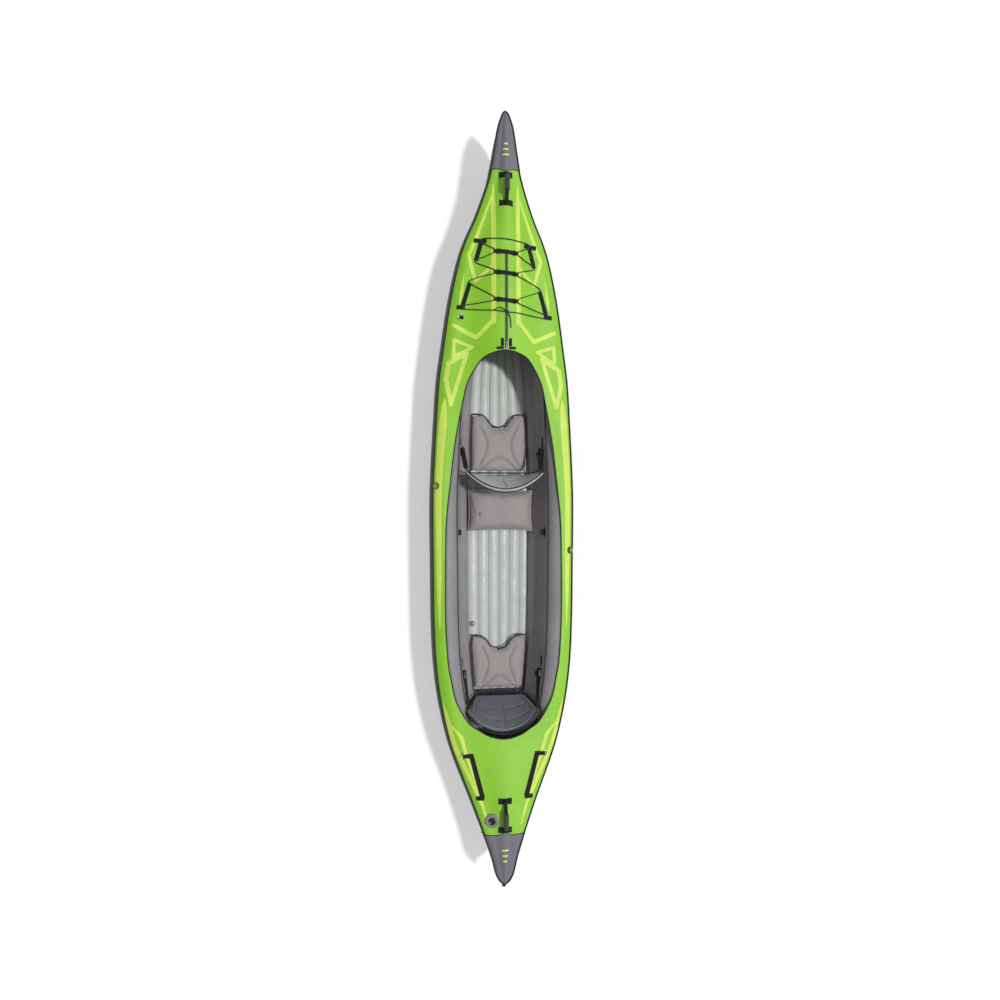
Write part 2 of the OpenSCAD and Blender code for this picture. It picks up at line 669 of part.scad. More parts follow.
// ---------------------------------------------------------------- zip
slider = [11, 15, 6];
slider_y = 915;
slider_z = 434.5;
module zip_tape() {
    color(dark) deck_band(along([0, 890], [0, 1460], 8), 12, 0.9, 1.5);
}
module zip_slider() {
    color(metal)
        difference() {
            union() {
                translate([-slider[0] / 2, slider_y - slider[1] / 2, slider_z])
                    cube([slider[0], slider[1], 3]);
                translate([-2, slider_y - 4, slider_z + 2.9]) cube([4, 8, 4]);
            }
            translate([-10, slider_y, slider_z + 4.5]) rotate([0, 90, 0])
                cylinder(r = 1 + pin_gap, h = 20, $fn = 24);
        }
}
module zip_pull() {
    color(metal)
        translate([0, slider_y, slider_z + 4.5]) {
            translate([-4, 0, 0]) rotate([0, 90, 0]) cylinder(r = 1, h = 8, $fn = 24);
            for (x = [-4, 2.6])
                translate([x, -16, -0.8]) cube([1.4, 16.5, 1.6]);
            translate([-4, -34, -0.8]) cube([8, 19, 1.6]);
        }
}

// ---------------------------------------------------------------- valves
valve_hole_r = 24;
valve_depth = 34;
flange_r = 41;
stern_valve_at = [-76, -1878, 372.5];
stern_valve_tilt = 10;
module at_stern_valve() translate(stern_valve_at) rotate([0, -stern_valve_tilt, 0]) children();
module stern_valve_body() {
    color(nose_grey)
        at_stern_valve() {
            difference() {
                union() {
                    cylinder(r = flange_r, h = 4);
                    translate([0, 0, -26]) cylinder(r = 22, h = 27);
                }
                translate([0, 0, -22]) cylinder(r = 17, h = 40, $fn = 48);
            }
        }
}
module stern_valve_cap() {
    color(black)
        at_stern_valve() {
            translate([0, 0, 4.2]) cylinder(r = 21, h = 5);
            translate([0, 0, -6]) cylinder(r = 17 - pin_gap, h = 10.3, $fn = 48);
            translate([-3, -18, 9.1]) cube([6, 36, 5]);
        }
}
side_valve_angle = 52;
function side_valve_at(y) = upper_c(y) + (upper_r(y) + 0.5) * [cos(side_valve_angle), sin(side_valve_angle)];
module at_side_valve(y) {
    p = side_valve_at(y);
    translate([p[0], y, p[1]]) rotate([0, 90 - side_valve_angle, 0]) children();
}
port_valve_y = 88;
starboard_valve_y = -296;
module side_valve() {
    color(black)
        difference() {
            cylinder(r = 21, h = 6);
            translate([0, 0, 2]) cylinder(r = 12, h = 10, $fn = 36);
        }
}
module side_cap() {
    color(green) {
        translate([0, 0, 2.2]) cylinder(r = 12 - pin_gap, h = 4, $fn = 36);
        translate([0, 0, 6.2]) cylinder(r = 16, h = 7);
        translate([-2.5, -13, 13.1]) cube([5, 26, 4]);
    }
}
module side_valve_bodies() {
    at_side_valve(starboard_valve_y) side_valve();
    mirror([1, 0, 0]) at_side_valve(port_valve_y) side_valve();
}
module side_valve_cap_port() mirror([1, 0, 0]) at_side_valve(port_valve_y) side_cap();
module side_valve_cap_starboard() at_side_valve(starboard_valve_y) side_cap();

// On the crest of the port outer lobe, just ahead of the rear seat
floor_valve_at = [-160, -760];
module floor_valve_body() {
    color(dark)
        translate([floor_valve_at[0], floor_valve_at[1], floor_top + 0.5])
            difference() {
                cylinder(r = 17, h = 6);
                translate([0, 0, 2]) cylinder(r = 10, h = 10, $fn = 36);
            }
}
module floor_valve_cap() {
    color(black)
        translate([floor_valve_at[0], floor_valve_at[1], floor_top + 0.5]) {
            translate([0, 0, 2.2]) cylinder(r = 10 - pin_gap, h = 4, $fn = 36);
            translate([0, 0, 6.2]) cylinder(r = 13, h = 6);
            translate([-2, -11, 12.1]) cube([4, 22, 4]);
        }
}

bottom_panel();
side_panel_port();
side_panel_starboard();
front_deck();
rear_deck();
side_deck_port();
side_deck_starboard();
bow_nose_cover();
stern_nose_cover();
cockpit_piping();
gunwale_piping();
liner_port();
liner_starboard();
upper_tube_port();
upper_tube_starboard();
lower_tube_port();
lower_tube_starboard();
air_floor();
floor_valve_body();
floor_valve_cap();
front_deck_lift();
rear_deck_lift();
bow_frame();
stern_frame();
bow_keel_plate();
stern_keel_plate();
tracking_fin();
front_seat_base();
front_seat_back();
rear_seat_base();
rear_seat_back();
front_strap_port();
front_strap_starboard();
rear_strap_port();
rear_strap_starboard();
strap_anchors();
strap_buckles();
spare_buckles();
footrest_cushion();
footrest_valve();
bow_handle_mounts();
bow_handle_grip();
stern_handle_mounts();
stern_handle_grip();
deck_lacing();
lacing_tails();
lacing_webbing();
stern_webbing();
ring_tabs();
bow_ring();
stern_ring_port();
stern_ring_starboard();
zip_tape();
zip_slider();
zip_pull();
stern_valve_body();
stern_valve_cap();
side_valve_bodies();
side_valve_cap_port();
side_valve_cap_starboard();
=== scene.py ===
"""Two-seat decked inflatable kayak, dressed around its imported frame.

Each sub-assembly is a class that holds its sizes and builds its meshes, and each finish is a class
that builds a material. Lengths are metres; +Y is the bow, +X starboard and +Z up.
"""

from __future__ import annotations

import logging
import math
from dataclasses import dataclass
from enum import Enum

import bmesh
import bpy
import numpy as np
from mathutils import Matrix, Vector
from mathutils.bvhtree import BVHTree


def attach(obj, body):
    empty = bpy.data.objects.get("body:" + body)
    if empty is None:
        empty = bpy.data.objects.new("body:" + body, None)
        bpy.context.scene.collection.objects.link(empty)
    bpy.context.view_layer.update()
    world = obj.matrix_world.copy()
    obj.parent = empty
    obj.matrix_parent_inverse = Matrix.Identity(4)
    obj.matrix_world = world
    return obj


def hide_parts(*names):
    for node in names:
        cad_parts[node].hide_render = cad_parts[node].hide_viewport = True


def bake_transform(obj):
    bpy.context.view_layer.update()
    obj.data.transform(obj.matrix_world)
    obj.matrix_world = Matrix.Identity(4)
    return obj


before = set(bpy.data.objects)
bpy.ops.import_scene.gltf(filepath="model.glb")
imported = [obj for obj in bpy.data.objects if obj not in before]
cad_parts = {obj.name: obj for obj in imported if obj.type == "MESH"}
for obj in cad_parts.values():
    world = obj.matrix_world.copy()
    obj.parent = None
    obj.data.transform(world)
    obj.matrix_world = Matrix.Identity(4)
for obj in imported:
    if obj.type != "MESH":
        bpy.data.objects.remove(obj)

log = logging.getLogger("kayak")
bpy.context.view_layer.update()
HULL_BODY = "hull"
MM = 0.001
Array = np.ndarray


# ------------------------------------------------------------------ shader writing
class Wire:
    """A socket's value in a material, so that shader maths is written as Python expressions."""

    def __init__(self, shader: "Shader", socket: bpy.types.NodeSocket) -> None:
        """Keeps the socket and the shader that it belongs to."""
        self.shader = shader
        self.socket = socket

    def _do(self, operation: str, *others: "Wire | float") -> "Wire":
        """Adds one Math node.

        Args:
            operation: the Math node's operation.
            others: the operands after this one.

        Returns:
            The node's value.
        """
        return self.shader.maths(operation, self, *others)

    def __add__(self, other: "Wire | float") -> "Wire":
        """Returns self + other."""
        return self._do("ADD", other)

    __radd__ = __add__

    def __mul__(self, other: "Wire | float") -> "Wire":
        """Returns self * other."""
        return self._do("MULTIPLY", other)

    __rmul__ = __mul__

    def __sub__(self, other: "Wire | float") -> "Wire":
        """Returns self - other."""
        return self._do("SUBTRACT", other)

    def __rsub__(self, other: float) -> "Wire":
        """Returns other - self."""
        return self.shader.maths("SUBTRACT", other, self)

    def __truediv__(self, other: "Wire | float") -> "Wire":
        """Returns self / other."""
        return self._do("DIVIDE", other)

    def __pow__(self, other: float) -> "Wire":
        """Returns self to the power of other."""
        return self._do("POWER", other)

    def __abs__(self) -> "Wire":
        """Returns the absolute value."""
        return self._do("ABSOLUTE")

    def sin(self) -> "Wire":
        """Returns the sine."""
        return self._do("SINE")

    def fract(self) -> "Wire":
        """Returns the fractional part."""
        return self._do("FRACT")

    def most(self, other: "Wire | float") -> "Wire":
        """Returns the larger of the two."""
        return self._do("MAXIMUM", other)

    def least(self, other: "Wire | float") -> "Wire":
        """Returns the smaller of the two."""
        return self._do("MINIMUM", other)

    def step(self, low: float, high: float) -> "Wire":
        """Rises smoothly from 0 at low to 1 at high.

        Args:
            low: the value at which the step starts.
            high: the value at which it ends.

        Returns:
            The stepped value, from 0 to 1.
        """
        settings = {"interpolation_type": "SMOOTHSTEP"}
        ends = {"Value": self, "From Min": low, "From Max": high}
        return self.shader.node("ShaderNodeMapRange", settings, ends)


class Shader:
    """One material and the nodes in it."""

    def __init__(self, name: str) -> None:
        """Makes an empty material.

        Args:
            name: the material's name.
        """
        self.material = bpy.data.materials.new(name)
        self.material.use_nodes = True
        self.tree = self.material.node_tree
        self.tree.nodes.clear()

    def node(self, kind: str, settings: dict | None = None, sockets: dict | None = None,
             out: int | str = 0) -> Wire:
        """Adds a node of any type.

        Args:
            kind: the node's type.
            settings: its own settings, set first; "stops" are a ramp's (place, colour) pairs.
            sockets: the value or link of each input, by name or number.
            out: the output that is wanted, by name or number.

        Returns:
            The wanted output.
        """
        made = self.tree.nodes.new(kind)
        for key, value in (settings or {}).items():
            if key == "stops":
                ramp = made.color_ramp
                while len(ramp.elements) < len(value):
                    ramp.elements.new(1.0)
                for element, (place, colour) in zip(ramp.elements, value):
                    element.position = place
                    element.color = (*colour, 1.0)
            else:
                setattr(made, key, value)
        for key, value in (sockets or {}).items():
            if isinstance(value, Wire):
                self.tree.links.new(value.socket, made.inputs[key])
            else:
                made.inputs[key].default_value = value
        return Wire(self, made.outputs[out])

    def maths(self, operation: str, *values: Wire | float) -> Wire:
        """Adds one Math node on the values."""
        return self.node("ShaderNodeMath", {"operation": operation}, dict(enumerate(values)))

    def place(self) -> Wire:
        """Returns the point in the boat's own frame."""
        return self.node("ShaderNodeTexCoord", out="Object")

    def cloth_uv(self) -> Wire:
        """Returns the piece's own map, in metres across and along its cloth."""
        return self.node("ShaderNodeUVMap", {"uv_map": "cloth"})

    def parts(self, vector: Wire) -> tuple[Wire, Wire, Wire]:
        """Returns the three parts of a vector."""
        split = self.node("ShaderNodeSeparateXYZ", None, {0: vector})
        outputs = split.socket.node.outputs
        return tuple(Wire(self, outputs[k]) for k in range(3))

    def attribute(self, name: str) -> Wire:
        """Returns a value kept on the mesh under that name."""
        return self.node("ShaderNodeAttribute", {"attribute_name": name}, out="Fac")

    def noise(self, at: Wire, scale: float, detail: float = 3.0, rough: float = 0.55) -> Wire:
        """Returns smooth noise about 0.5.

        Args:
            at: the point that it is read at.
            scale: lumps to the metre.
            detail: how many finer layers it has.
            rough: how strong the finer layers are.

        Returns:
            The noise value.
        """
        sockets = {"Vector": at, "Scale": scale, "Detail": detail, "Roughness": rough}
        return self.node("ShaderNodeTexNoise", None, sockets)

    def mix(self, share: Wire | float, a: Wire | tuple, b: Wire | tuple) -> Wire:
        """Mixes two colours.

        Args:
            share: how much of b there is.
            a: the colour at 0.
            b: the colour at 1.

        Returns:
            The mixed colour.
        """
        first, second = (c if isinstance(c, Wire) else (*c, 1.0) for c in (a, b))
        ends = {0: share, 6: first, 7: second}
        return self.node("ShaderNodeMix", {"data_type": "RGBA"}, ends, 2)

    def bump(self, height: Wire, deep: float, under: Wire | None = None) -> Wire:
        """Turns a height into a normal.

        Args:
            height: the height, from 0 to 1.
            deep: metres between 0 and 1.
            under: a normal that it lies on.

        Returns:
            The normal.
        """
        sockets = {"Height": height, "Distance": deep, "Strength": 1.0}
        if under is not None:
            sockets["Normal"] = under
        return self.node("ShaderNodeBump", None, sockets)

    def finish(self, sockets: dict) -> bpy.types.Material:
        """Adds the surface shader and its output.

        Args:
            sockets: the shader's inputs.

        Returns:
            The finished material.
        """
        surface = self.node("ShaderNodeBsdfPrincipled", None, sockets)
        output = self.tree.nodes.new("ShaderNodeOutputMaterial")
        self.tree.links.new(surface.socket, output.inputs["Surface"])
        return self.material


def shade(colour: tuple, by: float) -> tuple:
    """Returns a colour made lighter or darker by a factor."""
    return tuple(min(1.0, c * by) for c in colour)


# ------------------------------------------------------------------ finishes
class Lay(Enum):
    """Where a weave is read from."""

    MAP = "cloth map"
    PLACE = "boat frame"


@dataclass(frozen=True)
class Cloth:
    """Coated woven cloth: plain weave relief, soft mottling and worn roughness.

    The relief is the product of two cosine ridges, one along each thread direction, raised where a thread passes
    over. On the boat's frame the threads run at a slant to all three axes, so that no wall is left without them.
    """

    name: str
    tint: tuple
    thread: float = 1.1 * MM
    relief: float = 0.12 * MM
    rough: float = 0.55
    mottle: float = 0.10
    sheen: float = 0.15
    coat: float = 0.0
    lay: Lay = Lay.MAP
    crease: float = 0.6 * MM

    def paint(self, s: Shader, at: Wire) -> Wire:
        """Returns the cloth's colour: the tint, lighter and darker in soft patches."""
        soft = s.noise(at, 5.0, 4.0).step(0.3, 0.7)
        return s.mix(soft, shade(self.tint, 1 - self.mottle), shade(self.tint, 1 + self.mottle))

    def weave(self, s: Shader, at: Wire) -> Wire:
        """Returns the height of the weave from 0 to 1."""
        if self.lay is Lay.MAP:
            across, along, _ = s.parts(s.cloth_uv())
        else:
            x, y, z = s.parts(at)
            across, along = x + z * 0.7, y + z * 0.7 - x * 0.2
        turns = 2 * math.pi / self.thread
        return (across * turns).sin() * (along * turns).sin() * 0.5 + 0.5

    def build(self) -> bpy.types.Material:
        """Returns the material."""
        s = Shader(self.name)
        at = s.place()
        weave = self.weave(s, at)
        folds = s.noise(at, 26.0, 3.0)
        normal = s.bump(weave, self.relief, s.bump(folds, self.crease))
        wear = s.noise(at, 60.0, 2.0)
        rough = wear * 0.16 + (self.rough - 0.08)
        base = {"Base Color": self.paint(s, at), "Roughness": rough, "Normal": normal}
        return s.finish({**base, "Sheen Weight": self.sheen, "Coat Weight": self.coat, "Coat Roughness": 0.35})


@dataclass(frozen=True)
class Printed(Cloth):
    """Coated cloth with a pattern printed in a second colour where the mesh's "print" value is below zero."""

    ink: tuple = (0.6, 0.7, 0.1)
    edge: float = 0.6 * MM

    def paint(self, s: Shader, at: Wire) -> Wire:
        """Returns the cloth's colour with the print on it."""
        ground = super().paint(s, at)
        worn = s.noise(at, 14.0, 4.0).step(0.25, 0.75)
        ink = s.mix(worn, shade(self.ink, 0.93), shade(self.ink, 1.05))
        return s.mix(s.attribute("print").step(self.edge, -self.edge), ground, ink)


@dataclass(frozen=True)
class Tarpaulin(Cloth):
    """Heavy coated hull cloth with scuffs that lie along the boat and pale dust low down."""

    scuff: tuple = (0.16, 0.16, 0.165)

    def paint(self, s: Shader, at: Wire) -> Wire:
        """Returns the cloth's colour with scuffs and dust."""
        x, y, z = s.parts(at)
        drawn = s.node("ShaderNodeCombineXYZ", None, {0: x * 60.0, 1: y * 3.0, 2: z * 60.0})
        marks = s.noise(drawn, 1.0, 5.0, 0.7).step(0.6, 0.72) * z.step(0.16, 0.0)
        return s.mix(marks * 0.55, super().paint(s, at), self.scuff)


@dataclass(frozen=True)
class Airtight:
    """Smooth airtight film with a faint backing scrim, a soft gloss and fine creases."""

    name: str
    tint: tuple
    rough: float = 0.3
    coat: float = 0.25
    metal: float = 0.0
    scrim: float = 2.4 * MM

    def build(self) -> bpy.types.Material:
        """Returns the material."""
        s = Shader(self.name)
        at = s.place()
        x, y, z = s.parts(at)
        turns = 2 * math.pi / self.scrim
        mesh = ((x + z * 0.5) * turns).sin().most((y * turns).sin())
        drawn = s.node("ShaderNodeCombineXYZ", None, {0: x * 40.0, 1: y * 14.0, 2: z * 40.0})
        creases = s.noise(drawn, 1.0, 4.0, 0.6)
        normal = s.bump(mesh, 0.05 * MM, s.bump(creases, 0.9 * MM))
        dirt = s.noise(at, 9.0, 5.0, 0.65).step(0.35, 0.8)
        colour = s.mix(dirt * 0.5, self.tint, shade(self.tint, 0.86))
        rough = dirt * 0.18 + self.rough
        base = {"Base Color": colour, "Roughness": rough, "Normal": normal, "Metallic": self.metal}
        return s.finish({**base, "Coat Weight": self.coat, "Coat Roughness": 0.22})


@dataclass(frozen=True)
class Moulded:
    """Moulded plastic or rubber with a spark-eroded grain and handling marks."""

    name: str
    tint: tuple
    rough: float = 0.45
    grain: float = 900.0
    relief: float = 0.05 * MM
    coat: float = 0.0

    def build(self) -> bpy.types.Material:
        """Returns the material."""
        s = Shader(self.name)
        at = s.place()
        grain = s.noise(at, self.grain, 2.0)
        marks = s.noise(at, 130.0, 4.0, 0.6).step(0.35, 0.75)
        colour = s.mix(marks, shade(self.tint, 0.88), shade(self.tint, 1.12))
        rough = marks * 0.18 + (self.rough - 0.08)
        base = {"Base Color": colour, "Roughness": rough, "Normal": s.bump(grain, self.relief)}
        return s.finish({**base, "Coat Weight": self.coat, "Coat Roughness": 0.2})


@dataclass(frozen=True)
class Metal:
    """Drawn or anodised metal with fine lines along it and dulled patches."""

    name: str
    tint: tuple
    rough: float = 0.28
    lines: float = 700.0

    def build(self) -> bpy.types.Material:
        """Returns the material."""
        s = Shader(self.name)
        at = s.place()
        x, y, z = s.parts(at)
        drawn = s.node("ShaderNodeCombineXYZ", None, {0: x * self.lines, 1: y * 12.0, 2: z * self.lines})
        lines = s.noise(drawn, 1.0, 2.0)
        dull = s.noise(at, 80.0, 4.0).step(0.4, 0.8)
        colour = s.mix(dull, self.tint, shade(self.tint, 0.75))
        rough = dull * 0.2 + (self.rough + lines * 0.1)
        base = {"Base Color": colour, "Roughness": rough, "Metallic": 1.0, "Normal": s.bump(lines, 0.02 * MM)}
        return s.finish(base)


@dataclass(frozen=True)
class Webbing:
    """Woven webbing: ribs across it, a herringbone along it and a paler, rubbed surface."""

    name: str
    tint: tuple
    rib: float = 1.8 * MM
    lay: Lay = Lay.MAP

    def build(self) -> bpy.types.Material:
        """Returns the material."""
        s = Shader(self.name)
        at = s.place()
        if self.lay is Lay.MAP:
            across, along, _ = s.parts(s.cloth_uv())
        else:
            x, y, z = s.parts(at)
            across, along = x + z * 0.6, y + z * 0.6
        turns = 2 * math.pi / self.rib
        slant = abs((across / (6 * self.rib)).fract() - 0.5) * (6 * self.rib)
        rib = ((along + slant) * turns).sin() * 0.5 + 0.5
        rubbed = s.noise(at, 140.0, 3.0).step(0.4, 0.8) * rib
        colour = s.mix(rubbed * 0.4, self.tint, shade(self.tint, 2.4))
        base = {"Base Color": colour, "Roughness": rib * 0.15 + 0.62, "Normal": s.bump(rib, 0.25 * MM)}
        return s.finish({**base, "Sheen Weight": 0.05, "Specular IOR Level": 0.3})


@dataclass(frozen=True)
class Braid:
    """Braided cord sleeve: two sets of strands that wind opposite ways round the cord, with painted shade where
    a strand dips under and a painted highlight where it passes over.
    """

    name: str
    tint: tuple
    lay_length: float = 5.0 * MM
    strands: int = 8

    def build(self) -> bpy.types.Material:
        """Returns the material."""
        s = Shader(self.name)
        at = s.place()
        x, y, z = s.parts(at)
        along = (x + y * 0.8) * (2 * math.pi / self.lay_length)
        one = (along + z * 900.0).sin()
        other = (along - z * 900.0).sin()
        over = one.most(other) * 0.5 + 0.5
        # Painted shade and highlight: the colour darkens where the strands dip under and lightens where they
        # pass over.
        colour = s.mix(over, shade(self.tint, 0.6), shade(self.tint, 1.7))
        base = {"Base Color": colour, "Roughness": over * 0.1 + 0.55, "Normal": s.bump(over, 0.3 * MM)}
        return s.finish({**base, "Sheen Weight": 0.15})


GREEN = (0.245, 0.565, 0.022)
LIME = (0.60, 0.76, 0.115)
BLACK = (0.007, 0.007, 0.008)


class Finishes:
    """Every finish on the boat, built once and looked up by name."""

    CHOICES = (
        Printed("deck_cloth", GREEN, ink=LIME, rough=0.55, mottle=0.035, crease=1.2 * MM, sheen=0.02),
        Tarpaulin("hull_tarpaulin", (0.006, 0.006, 0.007), thread=2.2 * MM, rough=0.6, mottle=0.12),
        Printed("nose_cloth", (0.155, 0.15, 0.18), ink=LIME, thread=1.6 * MM, rough=0.6, mottle=0.07),
        Cloth("tongue_cloth", (0.155, 0.15, 0.18), thread=1.6 * MM, rough=0.6, mottle=0.07),
        Cloth("liner_cloth", (0.25, 0.238, 0.25), thread=1.4 * MM, rough=0.6, mottle=0.08, crease=1.6 * MM),
        Cloth("seat_cloth", (0.295, 0.27, 0.265), thread=1.6 * MM, rough=0.65, mottle=0.06, lay=Lay.PLACE),
        Cloth("back_cloth", (0.125, 0.13, 0.15), thread=1.6 * MM, rough=0.55, mottle=0.08, lay=Lay.PLACE),
        Cloth("front_back_cloth", (0.50, 0.52, 0.52), thread=1.6 * MM, rough=0.42, mottle=0.08, lay=Lay.PLACE),
        Airtight("floor_film", (0.46, 0.49, 0.465), rough=0.45, metal=0.0, coat=0.1),
        Airtight("bladder_film", (0.3, 0.3, 0.3), rough=0.35, coat=0.1),
        Moulded("piping_rubber", (0.012, 0.012, 0.013), rough=0.5, grain=500.0),
        Moulded("keel_rubber", (0.016, 0.016, 0.018), rough=0.55, grain=600.0, relief=0.1 * MM),
        Moulded("grip_rubber", (0.045, 0.045, 0.048), rough=0.6, grain=800.0, relief=0.08 * MM),
        Moulded("buckle_plastic", (0.014, 0.014, 0.016), rough=0.42),
        Moulded("valve_grey", (0.22, 0.23, 0.25), rough=0.38, coat=0.1),
        Moulded("valve_black", (0.012, 0.012, 0.014), rough=0.35, coat=0.15),
        Moulded("cap_green", (0.17, 0.36, 0.04), rough=0.36, coat=0.15),
        Metal("frame_alloy", (0.72, 0.73, 0.75), rough=0.34),
        Metal("ring_steel", (0.66, 0.65, 0.62), rough=0.22),
        Metal("zip_metal", (0.22, 0.22, 0.23), rough=0.4),
        Moulded("zip_teeth", (0.11, 0.125, 0.11), rough=0.4),
        Webbing("webbing", BLACK),
        Webbing("zip_cloth", (0.10, 0.11, 0.09)),
        Braid("cord_braid", (0.014, 0.015, 0.014)),
        Moulded("thread_dark", (0.03, 0.03, 0.032), rough=0.6),
        Moulded("thread_grey", (0.12, 0.115, 0.12), rough=0.6),
    )

    def __init__(self) -> None:
        """Builds every finish."""
        self.made = {choice.name: choice.build() for choice in self.CHOICES}

    def dress(self, piece: bpy.types.Object, name: str) -> bpy.types.Object:
        """Gives a piece its finish.

        Args:
            piece: the object.
            name: the finish's name.

        Returns:
            The same object.
        """
        if piece.data.materials:
            for k in range(len(piece.data.materials)):
                piece.data.materials[k] = self.made[name]
        else:
            piece.data.materials.append(self.made[name])
        return piece


# ------------------------------------------------------------------ shapes
def unit(vectors: Array) -> Array:
    """Returns vectors along the last axis at length 1."""
    length = np.linalg.norm(vectors, axis=-1, keepdims=True)
    return vectors / np.maximum(length, 1e-9)


def smooth_path(points: Array, count: int, closed: bool = False) -> Array:
    """Carries a smooth curve through points and spaces new points evenly along it.

    Each stretch between neighbours is a Catmull-Rom cubic, whose slope at a point is half the step between the
    points on either side of it.

    Args:
        points: the points, one a row.
        count: how many points come back.
        closed: whether the last point joins the first.

    Returns:
        The new points.
    """
    p = np.asarray(points, float)
    if closed:
        q = np.vstack([p[-1:], p, p[:2]])
    else:
        q = np.vstack([2 * p[:1] - p[1:2], p, 2 * p[-1:] - p[-2:-1]])
    t = np.linspace(0, 1, 24, endpoint=False)[:, None, None]
    a, b, c, d = q[:-3], q[1:-2], q[2:-1], q[3:]
    slope_b, slope_c = (c - a) / 2, (d - b) / 2
    curve = (2 * t**3 - 3 * t**2 + 1) * b + (t**3 - 2 * t**2 + t) * slope_b
    curve = curve + (3 * t**2 - 2 * t**3) * c + (t**3 - t**2) * slope_c
    curve = curve.transpose(1, 0, 2).reshape(-1, p.shape[1])
    curve = np.vstack([curve, q[-2:-1]])
    walked = np.concatenate([[0], np.cumsum(np.linalg.norm(np.diff(curve, axis=0), axis=1))])
    wanted = np.linspace(0, walked[-1], count + 1 if closed else count)[:count]
    return np.stack([np.interp(wanted, walked, curve[:, k]) for k in range(p.shape[1])], axis=1)


def ripple(a: Array, b: Array, seed: float) -> Array:
    """Returns uneven ripples between -1 and 1: four sines of unlike lengths, added up.

    Args:
        a: the first coordinate, in radians of the base ripple.
        b: the second one.
        seed: shifts the pattern.

    Returns:
        The ripple's height.
    """
    first = np.sin(a + 1.3 * np.sin(0.37 * a + seed) + 0.6 * b)
    second = np.sin(1.71 * a - 0.8 * b + 2.1 * seed)
    third = np.sin(0.53 * a + 1.9 * b + 3.7 * seed)
    fourth = np.sin(2.9 * a + 0.4 * b + 5.3 * seed)
    return (first + 0.6 * second + 0.5 * third + 0.25 * fourth) / 2.35


RIBBON = np.array([(-1, 0.2), (-0.95, 0), (-0.5, 0), (0, 0), (0.5, 0), (0.95, 0), (1, 0.2),
                   (1, 0.8), (0.95, 1), (0.5, 1), (0, 1), (-0.5, 1), (-0.95, 1), (-1, 0.8)])


